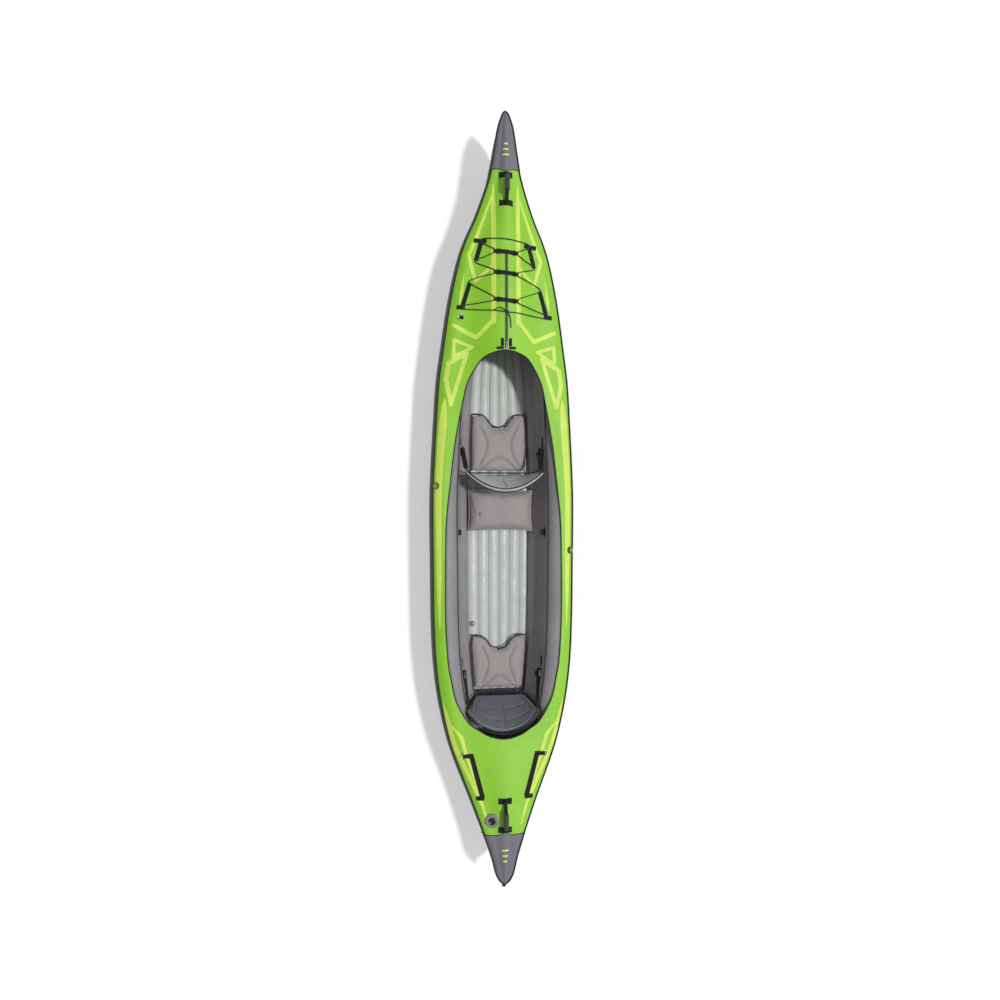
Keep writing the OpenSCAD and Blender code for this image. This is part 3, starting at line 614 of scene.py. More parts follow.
class Stock:
    """Grids, tubes, ribbons and turned shapes that are gathered into one mesh."""

    def __init__(self) -> None:
        """Starts with nothing."""
        self.points: list[Array] = []
        self.faces: list[Array] = []
        self.maps: list[Array] = []
        self.count = 0

    def _add(self, points: Array, faces: list[Array], maps: list[Array]) -> None:
        """Adds points, with faces that count from the first of them and each face corner's map place."""
        self.faces += [face + self.count for face in faces]
        self.maps += maps
        self.points.append(points)
        self.count += len(points)

    def grid(self, p: Array, wrap: bool = False, loop: bool = False, flip: bool = False,
             caps: bool = False) -> None:
        """Adds a grid surface; its map is the distance in metres along each direction of the grid.

        Args:
            p: the points, rows by columns by 3.
            wrap: whether the last column joins the first.
            loop: whether the last row joins the first.
            flip: turns the faces over.
            caps: closes both ends with a fan about their middle.
        """
        rows, cols = p.shape[:2]
        full = np.concatenate([p, p[:, :1]], axis=1) if wrap else p
        full = np.concatenate([full, full[:1]], axis=0) if loop else full
        steps = np.linalg.norm(np.diff(full, axis=1), axis=2)
        across = np.concatenate([np.zeros((len(full), 1)), np.cumsum(steps, axis=1)], 1)
        middle = full[:, full.shape[1] // 2]
        along = np.concatenate([[0], np.cumsum(np.linalg.norm(np.diff(middle, axis=0), axis=1))])
        uv = np.stack([across, np.broadcast_to(along[:, None], across.shape)], axis=2)
        i, j = np.meshgrid(np.arange(len(full) - 1), np.arange(full.shape[1] - 1), indexing="ij")
        i4 = np.stack([i, i, i + 1, i + 1], -1).reshape(-1, 4)
        j4 = np.stack([j, j + 1, j + 1, j], -1).reshape(-1, 4)
        if flip:
            i4, j4 = i4[:, ::-1], j4[:, ::-1]
        faces = [(i4 % rows) * cols + (j4 % cols)]
        maps = [uv[i4, j4]]
        points = p.reshape(-1, 3)
        if caps:
            ends = np.stack([p[0].mean(0), p[-1].mean(0)])
            ring = np.arange(cols)
            first = np.stack([ring, np.full(cols, rows * cols), np.roll(ring, -1)], 1)
            last = np.stack([ring + (rows - 1) * cols, np.roll(ring, -1) + (rows - 1) * cols,
                             np.full(cols, rows * cols + 1)], 1)
            fans = np.vstack([first, last])
            fans = fans[:, ::-1] if flip else fans
            points = np.vstack([points, ends])
            faces.append(fans)
            maps.append(points[fans][:, :, :2])
        self._add(points, faces, maps)

    def tube(self, path: Array, radius: float | Array, sides: int = 10, loop: bool = False,
             up: tuple = (0, 0, 1), flat: float = 1.0) -> None:
        """Adds a tube: circles square to the path, each turned so that its top lies towards up.

        Args:
            path: the points that it follows.
            radius: its radius, or one for each point.
            sides: points round it.
            loop: whether it comes back to its start.
            up: the direction of its top.
            flat: its height as a share of its width.
        """
        if loop:
            heading = unit(np.roll(path, -1, 0) - np.roll(path, 1, 0))
        else:
            heading = unit(np.gradient(path, axis=0))
        side = unit(np.cross(heading, np.array(up, float)))
        top = np.cross(side, heading)
        turn = np.arange(sides) / sides * 2 * np.pi
        radius = np.broadcast_to(radius, len(path))[:, None, None]
        ring = np.cos(turn)[None, :, None] * side[:, None] + flat * np.sin(turn)[None, :, None] * top[:, None]
        self.grid(path[:, None] + radius * ring, wrap=True, loop=loop, caps=not loop)

    def ribbon(self, path: Array, across: Array, half: float | Array, thick: float) -> None:
        """Adds a strip of webbing: a flat section with rounded edges, carried along a path.

        Args:
            path: the middle of its lower face.
            across: the direction across it at each point.
            half: half its width, or one for each point.
            thick: its thickness.
        """
        across = unit(np.broadcast_to(across, path.shape))
        up = unit(np.cross(across, unit(np.gradient(path, axis=0))))
        half = np.broadcast_to(half, len(path))[:, None, None]
        width, height = RIBBON[:, 0][None, :, None], RIBBON[:, 1][None, :, None]
        section = half * width * across[:, None] + thick * height * up[:, None]
        self.grid(path[:, None] + section, wrap=True, caps=True)

    def turned(self, profile: Array, at: "Placing", sides: int = 40) -> None:
        """Adds a turned shape: a profile of (radius, height) points carried round an axis.

        Args:
            profile: the profile, from the axis at the bottom round to the axis at the top.
            at: where its foot stands and which way its axis points.
            sides: points round it.
        """
        turn = np.arange(sides) / sides * 2 * np.pi
        r, z = profile[:, 0][:, None], profile[:, 1][:, None]
        local = np.stack([r * np.cos(turn), r * np.sin(turn), np.broadcast_to(z, (len(profile), sides))], 2)
        self.grid(at.apply(local), wrap=True)

    def block(self, low: tuple, high: tuple, at: "Placing", round_by: float = 0.8 * MM) -> None:
        """Adds a block with rounded long edges: a rounded rectangle carried up with eased ends.

        Args:
            low: its lowest corner.
            high: its highest corner.
            at: where it stands.
            round_by: the radius of its edges.
        """
        (x0, y0, z0), (x1, y1, z1) = low, high
        r = min(round_by, 0.45 * min(x1 - x0, y1 - y0, z1 - z0))
        turn = np.arange(5) / 4 * np.pi / 2
        arcs = [np.stack([cx + r * np.cos(turn + q), cy + r * np.sin(turn + q)], 1)
                for cx, cy, q in ((x1 - r, y1 - r, 0), (x0 + r, y1 - r, np.pi / 2),
                                  (x0 + r, y0 + r, np.pi), (x1 - r, y0 + r, 1.5 * np.pi))]
        outline = np.vstack(arcs)
        centre = np.array([(x0 + x1) / 2, (y0 + y1) / 2])
        half = np.array([(x1 - x0) / 2, (y1 - y0) / 2])
        eased = [(r * (1 - math.sin(a)), z0 + r * (1 - math.cos(a))) for a in np.linspace(0, np.pi / 2, 4)]
        levels = eased + [(d, z0 + z1 - z) for d, z in reversed(eased)]
        rings = [np.column_stack([centre + (outline - centre) * (half - d) / half, np.full(len(outline), z)])
                 for d, z in levels]
        self.grid(at.apply(np.stack(rings)), wrap=True, caps=True)

    def stitches(self, path: Array, across: Array, pitch: float = 4.2 * MM, size: float = 0.5 * MM) -> None:
        """Adds a row of stitches: short flattened diamonds end to end along a path, each dipping at both ends.

        Args:
            path: the line that they follow, on the cloth.
            across: the direction across the line at each point.
            pitch: from one stitch to the next.
            size: half the thread's width.
        """
        walked = np.concatenate([[0], np.cumsum(np.linalg.norm(np.diff(path, axis=0), axis=1))])
        count = max(2, int(walked[-1] / pitch))
        middle = (np.arange(count) + 0.5) * pitch
        at = np.stack([np.interp(middle, walked, path[:, k]) for k in range(3)], 1)
        run = unit(np.stack([np.interp(middle + pitch / 3, walked, path[:, k]) for k in range(3)], 1) - at)
        across = np.broadcast_to(across, path.shape)
        side = unit(np.stack([np.interp(middle, walked, across[:, k]) for k in range(3)], 1))
        up = unit(np.cross(side, run))
        long = 0.38 * pitch
        corners = [at + run * long, at + side * size, at - run * long, at - side * size, at + up * size * 1.2,
                   at - up * size]
        points = np.stack(corners, 1).reshape(-1, 3)
        shape = np.array([(0, 1, 4), (1, 2, 4), (2, 3, 4), (3, 0, 4),
                          (1, 0, 5), (2, 1, 5), (3, 2, 5), (0, 3, 5)])
        faces = (shape[None] + (np.arange(count) * 6)[:, None, None]).reshape(-1, 3)
        self._add(points, [faces], [np.zeros((len(faces), 3, 2))])

    def pillow(self, top: Array, under: Array) -> None:
        """Adds a closed pad: an upper and an under sheet that share their edges, and its two ends."""
        self.grid(np.concatenate([top, under[:, ::-1][:, 1:-1]], 1), wrap=True)
        for k in (0, -1):
            ring = np.concatenate([top[k], under[k, ::-1][1:-1]])
            self.grid(np.stack([ring, np.broadcast_to(ring.mean(0), ring.shape)]), wrap=True)

    def ribs(self, at: "Placing", count: int, inner: tuple, outer: tuple, radius: float, up: tuple) -> None:
        """Adds a ring of short ribs round an axis.

        Args:
            at: where the axis stands.
            count: how many ribs there are.
            inner: the (radius, height) of each rib's start, in millimetres.
            outer: that of its end.
            radius: its thickness.
            up: the direction of its top.
        """
        for a in np.arange(count) / count * 2 * np.pi:
            ends = np.array([(r * math.cos(a), r * math.sin(a), z) for r, z in (inner, outer)]) * MM
            self.tube(at.apply(np.linspace(ends[0], ends[1], 3)), radius, 6, up=up)

    def mirrored(self) -> "Stock":
        """Returns a copy mirrored across the centreline, with its faces turned to point outwards again."""
        other = Stock()
        other.points = [p * np.array([-1.0, 1.0, 1.0]) for p in self.points]
        other.faces = [face[:, ::-1] for face in self.faces]
        other.maps = [m[:, ::-1] for m in self.maps]
        other.count = self.count
        return other

    def take(self, other: "Stock") -> "Stock":
        """Adds everything in another stock to this one, and returns this one."""
        if other.points:
            self._add(np.vstack(other.points), other.faces, other.maps)
        return self

    def build(self, name: str, solid: bool = True, marks: dict | None = None) -> bpy.types.Object:
        """Makes the object.

        Args:
            name: the object's name.
            solid: whether every shape in it is closed, so that its faces can be turned outwards.
            marks: values kept at the points, by name.

        Returns:
            The object, at the origin.
        """
        points = np.vstack(self.points)
        mesh = bpy.data.meshes.new(name)
        sizes = np.concatenate([np.full(len(face), face.shape[1]) for face in self.faces])
        corners = np.concatenate([face.ravel() for face in self.faces])
        mesh.vertices.add(len(points))
        mesh.vertices.foreach_set("co", points.ravel().astype(np.float32))
        mesh.loops.add(len(corners))
        mesh.loops.foreach_set("vertex_index", corners.astype(np.int32))
        mesh.polygons.add(len(sizes))
        mesh.polygons.foreach_set("loop_start", np.concatenate([[0], np.cumsum(sizes)[:-1]]).astype(np.int32))
        mesh.update(calc_edges=True)
        flat = np.concatenate([m.reshape(-1, 2) for m in self.maps])
        mesh.uv_layers.new(name="cloth").data.foreach_set("uv", flat.ravel().astype(np.float32))
        for key, values in (marks or {}).items():
            mesh.attributes.new(key, "FLOAT", "POINT").data.foreach_set("value", values.astype(np.float32))
        work = bmesh.new()
        work.from_mesh(mesh)
        bmesh.ops.remove_doubles(work, verts=work.verts, dist=1e-6)
        bmesh.ops.dissolve_degenerate(work, edges=work.edges, dist=1e-7)
        if solid:
            bmesh.ops.recalc_face_normals(work, faces=work.faces)
        work.to_mesh(mesh)
        work.free()
        mesh.polygons.foreach_set("use_smooth", np.ones(len(mesh.polygons), bool))
        made = bpy.data.objects.new(name, mesh)
        bpy.context.scene.collection.objects.link(made)
        return made


@dataclass(frozen=True)
class Placing:
    """Where a small fitting stands: its foot and the directions of its own three axes."""

    foot: tuple
    x: tuple = (1.0, 0.0, 0.0)
    y: tuple = (0.0, 1.0, 0.0)
    z: tuple = (0.0, 0.0, 1.0)

    def apply(self, local: Array) -> Array:
        """Returns points given in the fitting's axes as points of the boat."""
        return np.asarray(self.foot, float) + local @ np.array([self.x, self.y, self.z], float)


def facing(foot: Array, along: Array, up: Array) -> Placing:
    """Returns a placing whose Y axis runs along one direction and whose Z axis leans towards another."""
    y = unit(np.asarray(along, float))
    x = unit(np.cross(y, np.asarray(up, float)))
    return Placing(tuple(foot), tuple(x), tuple(y), tuple(np.cross(x, y)))


def thicken(cloth: bpy.types.Object, by: float, offset: float = -1.0) -> bpy.types.Object:
    """Gives a sheet of cloth its thickness, inwards unless the offset says otherwise, and returns it."""
    wall = cloth.modifiers.new("cloth thickness", "SOLIDIFY")
    wall.thickness = by
    wall.offset = offset
    return cloth


# ------------------------------------------------------------------ the hull's form
class Row(Enum):
    """Columns of the station table."""

    BEAM = 1
    KEEL = 2
    SHEER = 3
    RIDGE = 4


STATIONS = MM * np.array([
    [-2258, 12, 300, 366, 370], [-2200, 50, 215, 372, 382], [-2100, 80, 145, 370, 386],
    [-1965, 129, 85, 366, 385], [-1770, 203, 38, 359, 381], [-1540, 294, 10, 352, 373],
    [-1400, 340, 3, 348, 366], [-1180, 389, 0, 344, 356], [-950, 418, 0, 341, 346],
    [-700, 430, 0, 338, 341], [-400, 434, 0, 338, 340], [0, 437, 0, 338, 341],
    [230, 429, 0, 339, 348], [470, 416, 0, 342, 368], [700, 401, 0, 346, 408],
    [875, 378, 0, 351, 428], [1175, 333, 2, 361, 430], [1410, 282, 10, 370, 430],
    [1530, 242, 18, 375, 429], [1650, 188, 32, 380, 427], [1765, 144, 50, 385, 424],
    [1905, 98, 80, 390, 418], [2045, 71, 130, 393, 412], [2190, 44, 220, 394, 406],
    [2285, 8, 320, 388, 392]], float)
RIM = MM * np.array([
    [-1401, 0], [-1385, 85], [-1350, 150], [-1300, 215], [-1180, 283], [-1065, 311],
    [-940, 332], [-700, 346], [-400, 347], [-120, 341], [110, 318], [350, 289],
    [585, 245], [703, 215], [820, 144], [862, 75], [876, 0]], float)
RIM_FRONT, RIM_AFT = 0.876, -1.401
BOW_SPLIT, STERN_SPLIT = 1.940, -1.965
BOW_TIP, STERN_TIP = 2.285, -2.258
SIDE_R = 0.088
SEAM_ANGLE = math.radians(35)
LOW_ANGLE = math.radians(-60)
CLOTH_T = 0.0022
PIPING_R = 0.0035
TUBE_INSET = 0.005
FLOOR_LIFT, FLOOR_H, LOBES = 0.004, 0.084, 6
FLOOR_TOP = FLOOR_LIFT + FLOOR_H
SEAT_T = 0.038
CORD_R = 0.003


class Hull:
    """The boat's form: a section follows from its half beam, keel, sheer and ridge at that place."""

    @staticmethod
    def at(y: Array, row: Row) -> Array:
        """Returns a column of the station table, joined smoothly by cubic stretches between the stations."""
        y = np.asarray(y, float)
        c = row.value
        last = len(STATIONS) - 1
        i = np.clip(np.searchsorted(STATIONS[:, 0], y, side="right") - 1, 0, last - 1)
        before, after = np.maximum(i - 1, 0), np.minimum(i + 2, last)
        a, b = STATIONS[i], STATIONS[i + 1]
        h = b[..., 0] - a[..., 0]
        t = np.clip((y - a[..., 0]) / h, 0, 1)
        slope_a = (b[..., c] - STATIONS[before][..., c]) / (b[..., 0] - STATIONS[before][..., 0])
        slope_b = (STATIONS[after][..., c] - a[..., c]) / (STATIONS[after][..., 0] - a[..., 0])
        value = (2 * t**3 - 3 * t**2 + 1) * a[..., c] + (t**3 - 2 * t**2 + t) * h * slope_a
        value = value + (3 * t**2 - 2 * t**3) * b[..., c] + (t**3 - t**2) * h * slope_b
        return np.maximum(value, 0)

    @staticmethod
    def upper_r(y: Array) -> Array:
        """Returns the upper side tube's radius, which shrinks with the beam."""
        return SIDE_R * np.tanh(0.5 * Hull.at(y, Row.BEAM) / SIDE_R)

    @staticmethod
    def lower_r(y: Array) -> Array:
        """Returns the lower side tube's radius."""
        return 1.045 * Hull.upper_r(y)

    @staticmethod
    def upper_c(y: Array) -> Array:
        """Returns the upper tube's centre as (x, z)."""
        r = Hull.upper_r(y)
        return np.stack([Hull.at(y, Row.BEAM) - r, Hull.at(y, Row.SHEER) - r], -1)

    @staticmethod
    def lower_c(y: Array) -> Array:
        """Returns the lower tube's centre as (x, z)."""
        return np.stack([0.8 * Hull.upper_c(y)[..., 0], Hull.at(y, Row.KEEL) + Hull.lower_r(y)], -1)

    @staticmethod
    def lower_air_r(y: Array) -> Array:
        """Returns the radius of the lower air tube."""
        return np.minimum(Hull.lower_r(y) - TUBE_INSET, Hull.lower_c(y)[..., 0] - 0.004)

    @staticmethod
    def waist(y: Array) -> Array:
        """Returns the angle of the straight stretch of cover between the tubes."""
        d = Hull.upper_c(y) - Hull.lower_c(y)
        lean = np.arccos((Hull.lower_r(y) - Hull.upper_r(y)) / np.linalg.norm(d, axis=-1))
        return np.arctan2(d[..., 1], d[..., 0]) - lean

    @staticmethod
    def deck_z(x: Array, y: Array) -> Array:
        """Returns the deck's height: a cosine crown between the tubes, and the tube's round outside them."""
        c, r = Hull.upper_c(y), Hull.upper_r(y)
        sheer, ridge = Hull.at(y, Row.SHEER), Hull.at(y, Row.RIDGE)
        a = np.abs(x)
        crown = sheer + (ridge - sheer) * (1 + np.cos(np.pi * np.minimum(a / c[..., 0], 1))) / 2
        outer = c[..., 1] + np.sqrt(np.maximum(0, r**2 - (a - c[..., 0])**2))
        return np.where(a <= c[..., 0], crown, outer)

    @staticmethod
    def on_deck(xy: Array, lift: float) -> Array:
        """Returns (x, y) points as points that height above the deck."""
        x, y = xy[..., 0], xy[..., 1]
        return np.stack([x, y, Hull.deck_z(x, y) + lift], -1)

    @staticmethod
    def arc(c: Array, r: Array, start: Array, end: Array, count: int) -> Array:
        """Returns arcs of circles, one for each row, as rows by count by (x, z)."""
        share = np.linspace(0, 1, count)
        start = np.broadcast_to(start, r.shape)[:, None]
        end = np.broadcast_to(end, r.shape)[:, None]
        angle = start + (end - start) * share
        return c[:, None] + r[:, None, None] * np.stack([np.cos(angle), np.sin(angle)], -1)

    @staticmethod
    def stand(section: Array, y: Array) -> Array:
        """Returns sections of (x, z) points as points of the boat at their own y."""
        along = np.broadcast_to(y[:, None], section.shape[:2])
        return np.stack([section[..., 0], along, section[..., 1]], -1)

    @staticmethod
    def rim_curve(count: int) -> Array:
        """Returns the cockpit opening's starboard edge from aft to bow as (x, y) points on one smooth curve."""
        star = np.stack([RIM[:, 1], RIM[:, 0]], 1)
        port = star[-2:0:-1] * np.array([-1.0, 1.0])
        whole = smooth_path(np.vstack([star, port]), 4000, closed=True)
        start = int(np.argmin(whole[:, 1]))
        whole = np.roll(whole, -start, axis=0)
        end = int(np.argmax(whole[:, 1]))
        half = whole[:end + 1]
        half[0], half[-1] = (0, RIM_AFT), (0, RIM_FRONT)
        return smooth_path(half[:: max(1, len(half) // 400)], count)

    @staticmethod
    def rim_x(y: Array) -> Array:
        """Returns the half width of the opening, which is zero fore and aft of it."""
        curve = Hull.rim_curve(1200)
        order = np.argsort(curve[:, 1])
        return np.interp(y, curve[order, 1], np.maximum(curve[order, 0], 0), left=0, right=0)


# ------------------------------------------------------------------ covers
def band_distance(x: Array, y: Array, path: Array, half: Array) -> Array:
    """Returns how far points lie outside a painted band, negative inside it.

    The distance to each stretch of the band's middle line is taken, less the half width there, and the least of
    these is kept.

    Args:
        x: the points' distances from the centreline.
        y: their places along the boat.
        path: the corners of the middle line.
        half: half the band's width at each corner.

    Returns:
        The distance of each point.
    """
    a, b = path[:-1], path[1:]
    run = b - a
    px, py = x[..., None] - a[:, 0], y[..., None] - a[:, 1]
    t = np.clip((px * run[:, 0] + py * run[:, 1]) / (run**2).sum(1), 0, 1)
    away = np.hypot(px - t * run[:, 0], py - t * run[:, 1])
    return (away - (half[:-1] + (half[1:] - half[:-1]) * t)).min(-1)


@dataclass
class Deck:
    """The deck cloth, in one sheet from nose to nose, with the cockpit cut out of it and its painted bands."""

    rows_open: int = 300
    rows_bow: int = 170
    rows_stern: int = 90
    crown_columns: int = 24
    shoulder_columns: int = 12
    pucker: float = 1.5 * MM
    bands: tuple = (
        (((73, 1040), (73, 1740), (73, 1872)), (14, 13, 0)),
        (((73, 1052), (170, 945), (300, 1012)), (12, 12, 12)),
        (((73, 1800), (170, 1530), (215, 1425), (175, 1275), (66, 1376)), (3, 10, 10, 10, 9)),
        (((235, 1348), (256, 1200), (275, 1100)), (0, 8, 0)),
        (((193, 888), (298, 928), (302, 828), (193, 888)), (9, 10, 10, 9)),
        (((224, 850), (330, 790), (345, 695), (316, 560), (224, 850)), (12, 14, 14, 11, 12)),
        (((363, -1170), (330, -1304), (305, -1400), (280, -1470), (190, -1660), (135, -1780), (95, -1912)),
         (0, 13, 14, 14, 12, 9, 3)),
        (((312, -1318), (255, -1386), (232, -1467), (190, -1593), (134, -1755)), (4, 11, 10, 8, 2)))
    skew: float = 0.05
    side_apex: float = 0.61
    side_end: float = -0.83
    side_inset: float = 0.034

    def rows(self) -> Array:
        """Returns the places of the rows, which crowd where the opening closes."""
        stern = np.linspace(STERN_SPLIT, RIM_AFT - 0.004, self.rows_stern)
        share = np.linspace(-1, 1, self.rows_open)
        eased = np.sin(share * np.pi / 2) * 0.6 + share * 0.4
        opening = (RIM_FRONT + RIM_AFT) / 2 + (RIM_FRONT - RIM_AFT) / 2 * np.sign(eased) * np.abs(eased)
        bow = np.linspace(RIM_FRONT + 0.004, BOW_SPLIT, self.rows_bow)
        return np.concatenate([stern, opening, bow])

    def half(self, y: Array) -> Array:
        """Returns the starboard half: level from the inner edge to the tube's top, then round to the seam."""
        c, r = Hull.upper_c(y), Hull.upper_r(y)
        inner = Hull.rim_x(y)
        share = np.linspace(0, 1, self.crown_columns)
        x = inner[:, None] + (c[:, :1] - inner[:, None]) * share
        z = Hull.deck_z(x, np.broadcast_to(y[:, None], x.shape))
        crown = np.stack([x, z], -1)
        round_part = Hull.arc(c, r, np.pi / 2, SEAM_ANGLE, self.shoulder_columns + 1)[:, 1:]
        return Hull.stand(np.concatenate([crown, round_part], 1), y)

    def pulled(self, p: Array) -> Array:
        """Returns the half with puckers: ripples square to the seams, which fade within 40 mm of them."""
        x, y, z = p[..., 0], p[..., 1], p[..., 2]
        seam = np.linalg.norm(p - p[:, -1:], axis=2)
        edge = np.linalg.norm(p - p[:, :1], axis=2)
        opened = (Hull.rim_x(y) > 0.02) * 1.0
        near = np.exp(-seam / 0.03) * (1 - np.exp(-seam / 0.006))
        near = near + opened * np.exp(-edge / 0.035) * (1 - np.exp(-edge / 0.008)) * 1.2
        waves = ripple(2 * np.pi * y / 0.052, x * 20, 0.4)
        slack = 0.9 * MM * ripple(2 * np.pi * (y + 0.4 * x) / 0.31, x * 14, 1.9) * np.minimum(1, seam / 0.05)
        lift = self.pucker * near * waves + slack * (1 - opened * np.exp(-edge / 0.05))
        return p + np.stack([np.zeros_like(x), np.zeros_like(x), lift], -1)

    def painted(self, x: Array, y: Array) -> Array:
        """Returns how far points of the deck lie outside its painted bands."""
        a = np.abs(x)
        result = np.full(x.shape, 1.0)
        skewed = y + self.skew * x * np.clip((y - 0.5) / 0.3, 0, 1)
        for path, half in self.bands:
            band = band_distance(a, skewed, MM * np.array(path, float), MM * np.array(half, float))
            result = np.minimum(result, band)
        seam = Hull.upper_c(y)[..., 0] + Hull.upper_r(y) * math.cos(SEAM_ANGLE)
        along = np.clip((self.side_apex - y) / (self.side_apex - self.side_end), 0, 1)
        wide = MM * np.interp(along, [0, 0.04, 0.12, 0.3, 0.75, 1], [0, 15, 23, 19, 14, 0])
        outside = (y > self.side_apex) | (y < self.side_end)
        inset = self.side_inset + 0.008 * np.clip(1 - along / 0.3, 0, 1)
        side = np.abs(a - (seam - inset)) - wide + outside * 0.05
        return np.minimum(result, side)

    def build(self, kit: Finishes) -> bpy.types.Object:
        """Makes the deck cloth.

        Args:
            kit: the finishes.

        Returns:
            The deck.
        """
        y = self.rows()
        right = self.pulled(self.half(y))
        left = right[:, ::-1] * np.array([-1.0, 1.0, 1.0])
        stock = Stock()
        stock.grid(right, flip=False)
        stock.grid(left, flip=False)
        whole = np.vstack(stock.points)
        print_value = self.painted(whole[:, 0], whole[:, 1])
        deck = stock.build("deck_cloth", solid=False, marks={"print": print_value})
        thicken(deck, CLOTH_T)
        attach(deck, HULL_BODY)
        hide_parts("front_deck", "rear_deck", "side_deck_port", "side_deck_starboard")
        return kit.dress(deck, "deck_cloth")


